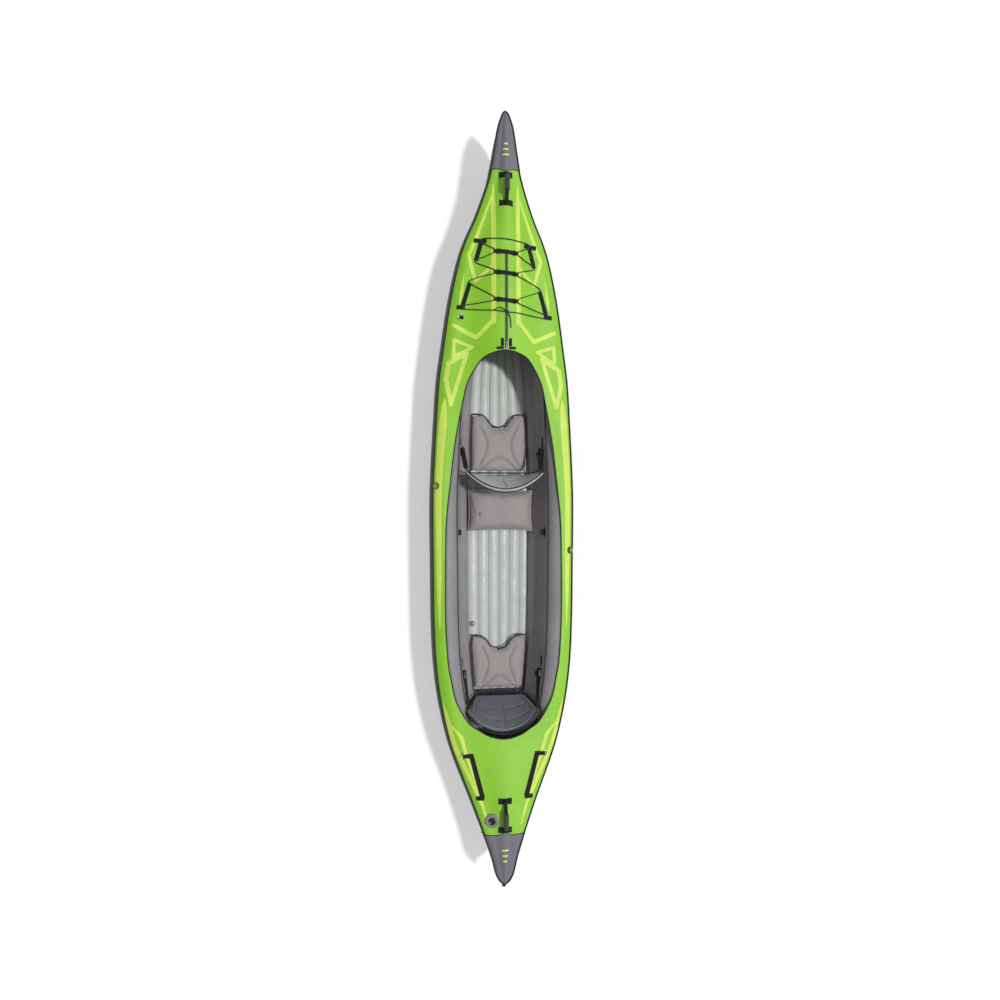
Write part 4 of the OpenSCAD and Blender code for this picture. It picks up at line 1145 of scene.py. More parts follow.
@dataclass
class Skins:
    """The hull's bottom and side covers, the bow and stern noses, and the piping sewn along the seams."""

    rows: int = 300
    bottom_columns: int = 12
    side_columns: int = 26
    nose_rows: int = 170
    bars: tuple = ((0.016, 2.020), (0.012, 2.052), (0.008, 2.084))
    stern_bars: tuple = ((0.016, -2.050), (0.012, -2.082), (0.008, -2.114))
    bar_half: float = 0.005
    tongue: float = 0.020
    tongue_half: float = 0.046

    def seam(self, y: Array, lift: float, sides: int = 1) -> Array:
        """Returns the seam between deck and hull side, standing off it by a distance."""
        c, r = Hull.upper_c(y), Hull.upper_r(y) + lift
        x, z = c[:, 0] + r * math.cos(SEAM_ANGLE), c[:, 1] + r * math.sin(SEAM_ANGLE)
        return np.stack([sides * x, y, z], 1)

    def bottom(self) -> Stock:
        """Returns the bottom cover: flat between the lower tubes, then round them to the low seam."""
        y = np.linspace(STERN_SPLIT, BOW_SPLIT, self.rows)
        c, r, keel = Hull.lower_c(y), Hull.lower_r(y), Hull.at(y, Row.KEEL)
        share = np.linspace(0, 1, 8)[:-1]
        flat = np.stack([c[:, :1] * share, np.broadcast_to(keel[:, None], (len(y), len(share)))], -1)
        bend = Hull.arc(c, r, -np.pi / 2, LOW_ANGLE, self.bottom_columns)
        half = Hull.stand(np.concatenate([flat, bend], 1), y)
        left = half[:, :0:-1] * np.array([-1.0, 1.0, 1.0])
        stock = Stock()
        stock.grid(np.concatenate([left, half], 1), flip=True)
        return stock

    def side(self) -> Stock:
        """Returns the starboard side cover: round the lower tube, up the waist and round the upper tube."""
        y = np.linspace(STERN_SPLIT, BOW_SPLIT, self.rows)
        waist = Hull.waist(y)
        low = Hull.arc(Hull.lower_c(y), Hull.lower_r(y), LOW_ANGLE, waist, self.side_columns // 2)
        high = Hull.arc(Hull.upper_c(y), Hull.upper_r(y), waist, SEAM_ANGLE, self.side_columns // 2)
        p = Hull.stand(np.concatenate([low, high], 1), y)
        edge = np.linalg.norm(p - p[:, -1:], axis=2)
        waves = ripple(2 * np.pi * p[..., 1] / 0.06, p[..., 2] * 30, 2.2)
        out = 1.2 * MM * waves * np.exp(-edge / 0.035) * (1 - np.exp(-edge / 0.006))
        sunk = -1.2 * MM * np.exp(-((p[..., 2] - 0.19) / 0.02)**2)
        p = p + np.stack([out + sunk, 0 * out, 0 * out], -1)
        stock = Stock()
        stock.grid(p, flip=True)
        return stock

    def nose(self, split: float, tip: float, wait: float) -> tuple[Array, int]:
        """Returns the starboard half of a nose's sections, mouth to rounded tip, and the column of its seam."""
        share = np.linspace(0, 1, self.nose_rows)
        y = split + (tip - split) * (1 - (1 - share)**1.6)
        safe = np.minimum(np.abs(y), abs(tip) - 0.002) * np.sign(tip)
        waist = Hull.waist(safe)
        low = Hull.arc(Hull.lower_c(safe), Hull.lower_r(safe), -np.pi / 2, waist, 16)
        side = Hull.arc(Hull.upper_c(safe), Hull.upper_r(safe), waist, SEAM_ANGLE, 10)[:, 1:]
        crown = Hull.arc(Hull.upper_c(safe), Hull.upper_r(safe), SEAM_ANGLE, np.pi / 2, 12)[:, 1:]
        top = Hull.upper_c(safe)[:, :1] * np.linspace(1, 0, 16)[1:]
        over = np.stack([top, Hull.deck_z(top, np.broadcast_to(safe[:, None], top.shape))], -1)
        keel = np.stack([0 * safe, Hull.at(safe, Row.KEEL)], -1)[:, None]
        half = np.concatenate([keel, low, side, crown, over], 1)
        middle = half.mean(1, keepdims=True) * np.array([0.0, 1.0])
        away = np.clip((np.abs(tip) - np.abs(y)) / wait, 0, 1)
        closing = np.sqrt(1 - (1 - away)**2)[:, None, None]
        half = middle + (half - middle) * closing
        return Hull.stand(half, y), low.shape[1] + side.shape[1]

    def nose_cover(self, kit: Finishes, name: str, split: float, tip: float, bars: tuple) -> None:
        """Makes a nose: the cover with plain bars on it, the black cloth below it and the piping between.

        Args:
            kit: the finishes.
            name: the name of the node that it stands for.
            split: where it meets the deck.
            tip: where it ends.
            bars: half the length of each bar and its place along the boat.
        """
        half, seam = self.nose(split, tip, 0.03)
        mirror = np.array([-1.0, 1.0, 1.0])
        above, below = half[:, seam:], half[:, :seam + 1]
        upper, lower = Stock(), Stock()
        upper.grid(np.concatenate([above, above[:, -2::-1] * mirror], 1), flip=tip > 0)
        lower.grid(np.concatenate([below[:, :0:-1] * mirror, below], 1), flip=tip > 0)
        points = np.vstack(upper.points)
        ink = np.full(len(points), 1.0)
        for reach, y in bars:
            path = np.array([(-reach, y), (reach, y)])
            ink = np.minimum(ink, band_distance(points[:, 0], points[:, 1], path, np.full(2, self.bar_half)))
        top = upper.build(name.replace("_cover", "_cloth"), solid=False, marks={"print": ink})
        under = lower.build(name.replace("_cover", "_side_cloth"), solid=False)
        piece(thicken(top, CLOTH_T), kit, "nose_cloth", (name,))
        piece(thicken(under, CLOTH_T), kit, "hull_tarpaulin", ())
        line = np.vstack([half[:, seam], half[-2::-1, seam] * mirror])
        run = unit(np.gradient(line, axis=0)) * np.sign(tip)
        out = unit(np.stack([run[:, 1], -run[:, 0], np.abs(run[:, 1]) * math.tan(SEAM_ANGLE)], 1))
        cord = Stock()
        cord.tube(smooth_path(line + out * (PIPING_R + 0.0004), 300), PIPING_R * 1.4, 10)
        share = np.linspace(-1, 1, 31)
        reach = split - np.sign(tip) * self.tongue * (1 - np.abs(share))
        edge = np.column_stack([self.tongue_half * share, reach])
        root = np.column_stack([edge[:, 0], np.full(31, split + np.sign(tip) * 0.004)])
        rows = np.linspace(0, 1, 8)[:, None, None]
        flap = Stock()
        flap.grid(Hull.on_deck(root + (edge - root) * rows, 0.0012), flip=tip < 0)
        tongue = thicken(flap.build(name.replace("_cover", "_tongue"), solid=False), 0.0012)
        piece(tongue, kit, "tongue_cloth", ())
        cord.tube(Hull.on_deck(smooth_path(edge, 40), 0.0014), 0.0018, 8)
        piece(cord.build(name.replace("_cover", "_piping")), kit, "piping_rubber", ())

    def piping(self, kit: Finishes) -> None:
        """Makes the gunwale piping with its stitches, the rim piping and the edging of the noses."""
        y = np.linspace(STERN_SPLIT, BOW_SPLIT, 420)
        gunwale, thread = Stock(), Stock()
        for side in (1, -1):
            gunwale.tube(self.seam(y, PIPING_R + 0.0004, side), PIPING_R, 10)
            flange = self.seam(y, 0.0004, side)
            across = np.array([-side * math.sin(SEAM_ANGLE), 0, math.cos(SEAM_ANGLE)])
            gunwale.ribbon(flange, across, 0.009, 0.0009)
            for turn in (-0.065, 0.065):
                c, r = Hull.upper_c(y), Hull.upper_r(y) + 0.0016
                angle = SEAM_ANGLE + turn
                line = np.stack([side * (c[:, 0] + r * math.cos(angle)), y, c[:, 1] + r * math.sin(angle)], 1)
                thread.stitches(line, np.array([-side * math.sin(angle), 0, math.cos(angle)]), 0.006)
        piece(gunwale.build("gunwale_piping_cord"), kit, "piping_rubber", ("gunwale_piping",))
        piece(thread.build("gunwale_stitching"), kit, "thread_grey", ())

        half = Hull.rim_curve(260)
        loop = np.vstack([half, half[-2:0:-1] * np.array([-1.0, 1.0])])
        rim = Stock()
        rim.tube(Hull.on_deck(loop, PIPING_R * 0.55), PIPING_R, 10, loop=True)
        piece(rim.build("cockpit_piping_cord"), kit, "piping_rubber", ("cockpit_piping",))
        away = unit(np.roll(loop, -1, 0) - np.roll(loop, 1, 0)) @ np.array([[0, -1.0], [1.0, 0]])
        hem = Stock()
        for out in (0.008, 0.0115):
            line = loop - away * out
            line = np.vstack([line, line[:1]])
            cross = np.column_stack([np.vstack([away, away[:1]]), np.zeros(len(line))])
            hem.stitches(Hull.on_deck(line, 0.0012), cross, 0.006)
        piece(hem.build("cockpit_stitching"), kit, "thread_dark", ())

        edging = Stock()
        for split, tip in ((BOW_SPLIT, BOW_TIP), (STERN_SPLIT, STERN_TIP)):
            half = self.nose(split, tip, 0.03)[0][0]
            half = half[:np.flatnonzero(half[:, 0] > self.tongue_half - 0.004)[-1] + 1]
            ring = np.vstack([half[:0:-1] * np.array([-1.0, 1.0, 1.0]), half])
            out = unit((ring - ring.mean(0)) * np.array([1.0, 0.0, 1.0]))
            edging.tube(ring + out * 0.0008, 0.0024, 8, up=(0, 1, 0))
        piece(edging.build("nose_edging"), kit, "piping_rubber", ())

    def build(self, kit: Finishes) -> None:
        """Makes the covers."""
        side = self.side()
        for stock, name, node in ((self.bottom(), "bottom_cloth", "bottom_panel"),
                                  (side, "side_cloth_starboard", "side_panel_starboard"),
                                  (side.mirrored(), "side_cloth_port", "side_panel_port")):
            piece(thicken(stock.build(name, solid=False), CLOTH_T), kit, "hull_tarpaulin", (node,))
        tape = Stock()
        y = np.linspace(STERN_SPLIT + 0.002, BOW_SPLIT - 0.002, 260)
        c, r = Hull.lower_c(y), Hull.lower_r(y) + 0.0002
        low = np.stack([c[:, 0] + r * math.cos(LOW_ANGLE), y, c[:, 1] + r * math.sin(LOW_ANGLE)], 1)
        tape.ribbon(low, np.array([-math.sin(LOW_ANGLE), 0, math.cos(LOW_ANGLE)]), 0.015, 0.0011)
        piece(tape.take(tape.mirrored()).build("bottom_seam_tape"), kit, "keel_rubber", ())
        self.nose_cover(kit, "bow_nose_cover", BOW_SPLIT, BOW_TIP, self.bars)
        self.nose_cover(kit, "stern_nose_cover", STERN_SPLIT, STERN_TIP, self.stern_bars)
        tab = Stock()
        tail = np.array([(0, y, 0.334) for y in (STERN_TIP + 0.012, STERN_TIP - 0.006, -2.284)])
        tab.ribbon(smooth_path(tail, 12), np.array([1.0, 0, 0]), 0.0115, 0.003)
        piece(tab.build("stern_pull_tab"), kit, "webbing", ())
        self.piping(kit)


def piece(made: bpy.types.Object, kit: Finishes, finish: str, nodes: tuple,
          body: str = HULL_BODY) -> bpy.types.Object:
    """Dresses a piece, makes it ride on a body, and hides the CAD nodes that it stands for.

    Args:
        made: the piece.
        kit: the finishes.
        finish: its finish's name.
        nodes: the nodes that it replaces.
        body: the body that it moves with.

    Returns:
        The same piece.
    """
    kit.dress(made, finish)
    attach(made, body)
    if nodes:
        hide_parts(*nodes)
    log.info("%s: %d faces", made.name, len(made.data.polygons))
    return made


# ------------------------------------------------------------------ inside the hull
@dataclass
class Cockpit:
    """The liners on the side walls and the air floor."""

    liner_start: float = -1.54
    liner_end: float = 0.98
    liner_rows: int = 240
    floor_rows: int = 280
    lobe_columns: int = 14
    furrow: float = 0.0125
    near: float = 0.0022
    cover: float = 0.0012
    piping_angle: float = math.radians(148)

    def wall(self, y: Array, out: float) -> Array:
        """Returns the liner's section: round the inboard side of the lower and then of the upper tube."""
        low_r, high_r = Hull.lower_air_r(y) + out, Hull.upper_r(y) - TUBE_INSET + out
        low = Hull.arc(Hull.lower_c(y), low_r, np.radians(196), np.radians(118), 16)
        high = Hull.arc(Hull.upper_c(y), high_r, np.radians(196), np.radians(80), 24)
        return Hull.stand(np.concatenate([low, high], 1), y)

    def liner(self) -> Stock:
        """Returns the starboard liner, slack between its seams: upright folds, deepest half way up."""
        y = np.linspace(self.liner_start, self.liner_end, self.liner_rows)
        p = self.wall(y, self.near)
        rows, cols = p.shape[:2]
        share = np.linspace(0, 1, cols)[None, :]
        folds = ripple(2 * np.pi * p[..., 1] / 0.075, share * 4.0, 0.9)
        depth = 2.2 * MM * (0.5 + 0.5 * folds) * np.sin(np.pi * share)**0.7
        p = p - np.stack([depth, 0 * depth, 0 * depth], -1)
        stock = Stock()
        stock.grid(p, flip=False)
        return stock

    def line(self, y: Array, angle: float, lift: float, side: int) -> Array:
        """Returns a line along the upper tube at an angle round it."""
        c, r = Hull.upper_c(y), Hull.upper_r(y) - TUBE_INSET + lift
        return np.stack([side * (c[:, 0] + r * math.cos(angle)), y, c[:, 1] + r * math.sin(angle)], 1)

    def liners(self, kit: Finishes) -> None:
        """Makes both liners with the piping and stitches on them."""
        star = self.liner()
        for name, stock in (("starboard", star), ("port", star.mirrored())):
            cloth = thicken(stock.build(f"liner_cloth_{name}", solid=False), self.cover, 1.0)
            piece(cloth, kit, "liner_cloth", (f"liner_{name}",))
        cord, thread = Stock(), Stock()
        y = np.linspace(-1.38, 0.86, 260)
        for side in (1, -1):
            cord.tube(self.line(y, self.piping_angle, 0.0075, side), 0.003, 8)
            for turn in (-0.07, 0.07):
                path = self.line(y, self.piping_angle + turn, 0.0062, side)
                angle = self.piping_angle + turn
                thread.stitches(path, np.array([-side * math.sin(angle), 0, math.cos(angle)]), 0.006)
        piece(cord.build("liner_piping"), kit, "piping_rubber", ())
        piece(thread.build("liner_stitching"), kit, "thread_dark", ())

    def floor(self, kit: Finishes) -> None:
        """Makes the air floor.

        Across each lobe the top is a circle's cap: height = crest - furrow * (1 - sqrt(1 - (2f - 1)^2)),
        where f runs from 0 to 1 across the lobe. Puckers cross the furrows and fade in 12 mm.
        """
        y = np.linspace(-1.535, 1.405, self.floor_rows)
        half = Hull.lower_c(y)[:, 0] - Hull.lower_air_r(y) + 0.002
        base = Hull.at(y, Row.KEEL) + FLOOR_LIFT
        share = np.linspace(-1, 1, LOBES * self.lobe_columns + 1)
        f = (share * 0.5 + 0.5) * LOBES
        f = np.minimum(f - np.floor(f), 1.0)
        cap = np.sqrt(np.maximum(0, 1 - (2 * f - 1)**2))
        end = np.minimum((y[-1] - y) / 0.05, (y - y[0]) / 0.05).clip(0, 1)
        end = np.sqrt(1 - (1 - end)**2)
        drop = self.furrow * (1 - cap)
        x = half[:, None] * share
        pinch = np.exp(-np.minimum(f, 1 - f) * (2 * half[:, None] / LOBES) / 0.012)
        pinch = np.where(np.abs(share) > 0.995, 0, pinch)
        across = 1.3 * MM * pinch * ripple(2 * np.pi * y[:, None] / 0.021 + 0 * share, x * 9, 0.3)
        soft = 0.9 * MM * ripple(2 * np.pi * (y[:, None] + 0.2 * x) / 0.16, x * 55, 1.1)
        height = (FLOOR_H - drop + across + soft * cap) * (0.35 + 0.65 * end[:, None])
        edge = np.abs(share) > 1 - 1e-6
        height = np.where(edge, 0.6 * FLOOR_H * (0.35 + 0.65 * end[:, None]), height)
        top = np.stack([x, np.broadcast_to(y[:, None], x.shape), base[:, None] + height], -1)
        under = top[:, ::-1] * np.array([1.0, 1.0, 0.0])
        sag = np.where(edge[::-1], 0.35 * FLOOR_H, 0.0015)
        under[..., 2] = base[:, None] + sag
        stock = Stock()
        stock.grid(np.concatenate([top, under], 1), wrap=True, caps=True)
        piece(stock.build("air_floor_film"), kit, "floor_film", ("air_floor",))
        weld = Stock()
        for k in range(1, LOBES):
            at = half * (2 * k / LOBES - 1)
            inner = slice(8, -8)
            line = np.stack([at, y, base + FLOOR_H - self.furrow + 0.0006], 1)[inner]
            weld.ribbon(line, np.array([1.0, 0, 0]), 0.004, 0.0006)
        piece(weld.build("floor_weld_strips"), kit, "floor_film", ())

    def build(self, kit: Finishes) -> None:
        """Makes the cockpit's inside."""
        self.floor(kit)
        self.liners(kit)


# ------------------------------------------------------------------ studio
@dataclass
class Studio:
    """The pale floor, the soft key light and the camera."""

    aim: tuple = (-0.019, 0.005, 0.3)
    reach: float = 4.9
    tilt: float = math.radians(8.5)
    lens: float = 29.6
    key_from: tuple = (0.38, 0.0, 0.92)
    key_power: float = 2.35
    fill: float = 0.36
    glow: float = 0.45

    def build(self) -> None:
        """Makes the camera, lights and floor."""
        scene = bpy.context.scene
        scene.view_settings.view_transform = "Standard"
        eye = bpy.data.cameras.new("camera")
        eye.lens = self.lens
        eye.sensor_width = 36.0
        eye.clip_end = 50.0
        camera = bpy.data.objects.new("camera", eye)
        lean = np.array([-math.sin(self.tilt), 0.0, math.cos(self.tilt)])
        camera.location = np.array(self.aim) + self.reach * lean
        camera.rotation_euler = (0.0, -self.tilt, 0.0)
        scene.collection.objects.link(camera)
        scene.camera = camera

        sun = bpy.data.lights.new("key", "SUN")
        sun.energy = self.key_power
        sun.angle = math.radians(5)
        key = bpy.data.objects.new("key", sun)
        key.rotation_euler = (0.0, math.atan2(self.key_from[0], self.key_from[2]), 0.0)
        scene.collection.objects.link(key)

        world = bpy.data.worlds.new("studio")
        world.use_nodes = True
        world.node_tree.nodes["Background"].inputs["Color"].default_value = (1.0, 1.0, 1.0, 1.0)
        world.node_tree.nodes["Background"].inputs["Strength"].default_value = self.fill
        scene.world = world

        side = 12.0
        mesh = bpy.data.meshes.new("studio_floor")
        corners = [(-side, -side, 0), (side, -side, 0), (side, side, 0), (-side, side, 0)]
        mesh.from_pydata(corners, [], [(0, 1, 2, 3)])
        floor = bpy.data.objects.new("studio_floor", mesh)
        scene.collection.objects.link(floor)
        s = Shader("studio_floor")
        tone = s.noise(s.place(), 3.0, 2.0)
        pale = s.mix(tone, (0.55, 0.55, 0.55), (0.57, 0.57, 0.57))
        glow = {"Emission Color": (1.0, 1.0, 1.0, 1.0), "Emission Strength": self.glow}
        floor.data.materials.append(s.finish({"Base Color": pale, "Roughness": 0.9, **glow}))


# ------------------------------------------------------------------ seats
BACK_LEN, BACK_T, BACK_WRAP, CORNER_DROP = 0.300, 0.028, 0.115, 0.026
FOOT_GAP, HINGE_BACK = 0.006, 0.007
HINGE_Z = FLOOR_TOP + SEAT_T + 0.008


class Air:
    """Fills padded pieces: a remeshed cloth skin is blown up, and how far each point moved is capped."""

    frames: int = 20
    pressure: float = 4.0

    @classmethod
    def fill(cls, pad: bpy.types.Object, voxel: float, cap: float) -> None:
        """Blows up a pad and keeps the result as its mesh.

        Args:
            pad: the pad, a little smaller than it should end.
            voxel: the size of the skin's squares.
            cap: how far a point may move.
        """
        scene = bpy.context.scene
        remesh = pad.modifiers.new("skin", "REMESH")
        remesh.mode = "VOXEL"
        remesh.voxel_size = voxel
        cls.settle(pad)
        rest = cls.points(pad.data)
        air = pad.modifiers.new("air", "CLOTH")
        air.settings.use_pressure = True
        air.settings.uniform_pressure_force = cls.pressure
        air.settings.effector_weights.gravity = 0.0
        air.settings.quality = 5
        air.settings.mass = 0.35
        air.settings.tension_stiffness = 18.0
        air.settings.compression_stiffness = 18.0
        air.settings.bending_stiffness = 0.4
        air.point_cache.frame_start = 1
        air.point_cache.frame_end = cls.frames
        for step in range(1, cls.frames + 1):
            scene.frame_set(step)
        cls.settle(pad)
        scene.frame_set(1)
        moved = cls.points(pad.data) - rest
        far = np.linalg.norm(moved, axis=1, keepdims=True)
        rest = rest + moved * np.minimum(1, cap / np.maximum(far, 1e-9))
        cls.put(pad, rest)
        log.info("%s: air filled, %d points", pad.name, len(rest))

    @staticmethod
    def settle(pad: bpy.types.Object) -> None:
        """Turns what a pad's modifiers make into its own mesh."""
        seen = pad.evaluated_get(bpy.context.evaluated_depsgraph_get())
        mesh = bpy.data.meshes.new_from_object(seen)
        pad.modifiers.clear()
        old = pad.data
        mesh.name = pad.name
        pad.data = mesh
        bpy.data.meshes.remove(old)

    @staticmethod
    def points(mesh: bpy.types.Mesh) -> Array:
        """Returns a mesh's points."""
        flat = np.empty(len(mesh.vertices) * 3)
        mesh.vertices.foreach_get("co", flat)
        return flat.reshape(-1, 3)

    @staticmethod
    def put(pad: bpy.types.Object, points: Array) -> None:
        """Moves a pad's points and shades it smooth."""
        pad.data.vertices.foreach_set("co", points.ravel())
        pad.data.polygons.foreach_set("use_smooth", np.ones(len(pad.data.polygons), bool))
        pad.data.update()

    @staticmethod
    def refine(pad: bpy.types.Object) -> None:
        """Adds one subdivision and keeps the result."""
        fine = pad.modifiers.new("smooth", "SUBSURF")
        fine.levels = fine.render_levels = 1
        Air.settle(pad)
        pad.data.polygons.foreach_set("use_smooth", np.ones(len(pad.data.polygons), bool))

    @staticmethod
    def lay(pad: bpy.types.Object, points: Array, toward: Array, lift: float) -> Array:
        """Drops points on a pad's surface along a direction, and lifts them off it a little.

        Args:
            pad: the pad.
            points: points outside it.
            toward: the direction in which they drop.
            lift: how far off the surface they end.

        Returns:
            The points on the surface; one that meets nothing stays where it is.
        """
        tree = BVHTree.FromPolygons([tuple(v.co) for v in pad.data.vertices],
                                    [tuple(f.vertices) for f in pad.data.polygons])
        toward = unit(np.asarray(toward, float))
        found = [tree.ray_cast(Vector(p), Vector(toward))[0] for p in points]
        return np.array([p if hit is None else np.array(hit) - toward * lift
                         for hit, p in zip(found, points)])


def groove(points: Array, lines: list[Array], deep: float, wide: float, axes: tuple = (0, 1)) -> Array:
    """Returns how deep points are drawn in by sewn lines: a bell curve of the distance to the nearest line."""
    best = np.full(len(points), 1.0)
    for line in lines:
        a, b = line[:-1], line[1:]
        run = b - a
        rel = points[:, None, list(axes)] - a[None]
        t = np.clip((rel * run).sum(2) / (run**2).sum(1), 0, 1)
        best = np.minimum(best, np.linalg.norm(rel - t[..., None] * run, axis=2).min(1))
    return deep * np.exp(-(best / wide)**2)


@dataclass
class SeatBase:
    """An inflated seat base whose front edge dips in a wave, with sewn arcs and piping round it."""

    name: str
    node: str
    front: float
    rear: float
    half_front: float
    half_rear: float
    wave: tuple = ((0, 0.0), (0.26, 17.0), (0.45, 57.0), (0.65, 80.0), (0.93, 81.5), (1.0, 80.0))

    def edge(self, u: Array) -> Array:
        """Returns the front edge's place: lowest in the middle, rising in a wave towards the corners."""
        table = np.array(self.wave)
        dense = smooth_path(table, 200)
        return self.front - 0.082 + MM * np.interp(np.abs(u), dense[:, 0], dense[:, 1])

    def plan(self, u: Array, v: Array) -> Array:
        """Returns (x, y) at a share u across and v forward."""
        front = self.edge(u) + 0.0 * v
        y = self.rear + (front - self.rear) * v
        along = np.clip((y - self.rear) / (self.front - 0.06 - self.rear), 0, 1)
        corner = 0.008 * np.clip((y - self.front + 0.06) / 0.06, 0, 1)
        half = self.half_rear + (self.half_front - self.half_rear) * along - corner
        return np.stack([u * half, y], -1)

    def arcs(self) -> list[Array]:
        """Returns the sewn lines: one bowed in from each side, and one over the middle of the rear edge."""
        mid, length = (self.front + self.rear) / 2, self.front - self.rear
        lines = []
        for side in (-1, 1):
            pts = np.array([(0.72, 0.36), (0.55, 0.2), (0.44, 0.02), (0.5, -0.2), (0.72, -0.44)])
            xy = np.stack([side * pts[:, 0] * self.half_rear * 0.95, mid + pts[:, 1] * length * 0.86], 1)
            lines.append(smooth_path(xy, 40))
        pts = np.array([(-0.62, -0.49), (-0.3, -0.33), (0.0, -0.25), (0.3, -0.33), (0.62, -0.49)])
        xy = np.stack([pts[:, 0] * self.half_rear, mid + pts[:, 1] * length * 0.92], 1)
        lines.append(smooth_path(xy, 40))
        return lines

    def build(self, kit: Finishes) -> None:
        """Makes the base with its piping and stitches."""
        low, high = FLOOR_TOP + 0.002, FLOOR_TOP + 0.002 + SEAT_T
        middle, half_t = (low + high) / 2, SEAT_T / 2
        u, v = np.meshgrid(np.linspace(-1, 1, 61), np.linspace(0, 1, 61))
        crown = (1 - np.abs(u)**9)**0.5 * (1 - np.abs(2 * v - 1)**9)**0.5
        xy = self.plan(u * 0.975, 0.018 + 0.964 * v)
        top = np.concatenate([xy, (middle + (half_t - 0.009) * crown)[..., None]], 2)
        under = np.concatenate([xy, (middle - (half_t - 0.005) * crown)[..., None]], 2)
        stock = Stock()
        stock.pillow(top, under)
        pad = stock.build(self.name)
        Air.fill(pad, 0.0055, 0.007)
        points = Air.points(pad.data)
        above = points[:, 2] > middle
        lines = self.arcs()
        points[:, 2] -= np.where(above, groove(points, lines, 0.006, 0.008), 0)
        points[:, 2] = np.clip(points[:, 2], low - 0.001, high + 0.006)
        Air.put(pad, points)
        Air.refine(pad)
        piece(pad, kit, "seat_cloth", (self.node,))

        s = np.linspace(0, 1, 60)
        ring = np.vstack([self.plan(np.full(60, -1.0), s), self.plan(np.linspace(-1, 1, 160)[1:], np.ones(159)),
                          self.plan(np.full(59, 1.0), s[::-1][1:]),
                          self.plan(np.linspace(1, -1, 60)[1:-1], np.zeros(58))])
        ring = smooth_path(ring[::3], 260, closed=True)
        loop = np.column_stack([ring, np.full(len(ring), middle + 0.008)])
        cord, thread = Stock(), Stock()
        cord.tube(loop, 0.0042, 8, loop=True)
        piece(cord.build(self.name + "_piping"), kit, "piping_rubber", ())
        for line in lines:
            for off in (-0.0016, 0.0016):
                run = unit(np.gradient(line, axis=0)) @ np.array([[0, -1.0], [1.0, 0]])
                high_line = np.column_stack([line + run * off, np.full(len(line), high + 0.05)])
                laid = Air.lay(pad, high_line, (0, 0, -1), 0.0006)
                thread.stitches(laid, np.column_stack([run, np.zeros(len(run))]), 0.0065, 0.0008)
        inner = ring.mean(0) + (ring - ring.mean(0)) * 0.945
        laid = Air.lay(pad, np.column_stack([inner, np.full(len(inner), high + 0.05)]), (0, 0, -1), 0.0006)
        across = unit(np.column_stack([inner - ring, np.zeros(len(ring))]))
        thread.stitches(laid, across, 0.0065, 0.0007)
        piece(thread.build(self.name + "_stitching"), kit, "thread_dark", ())


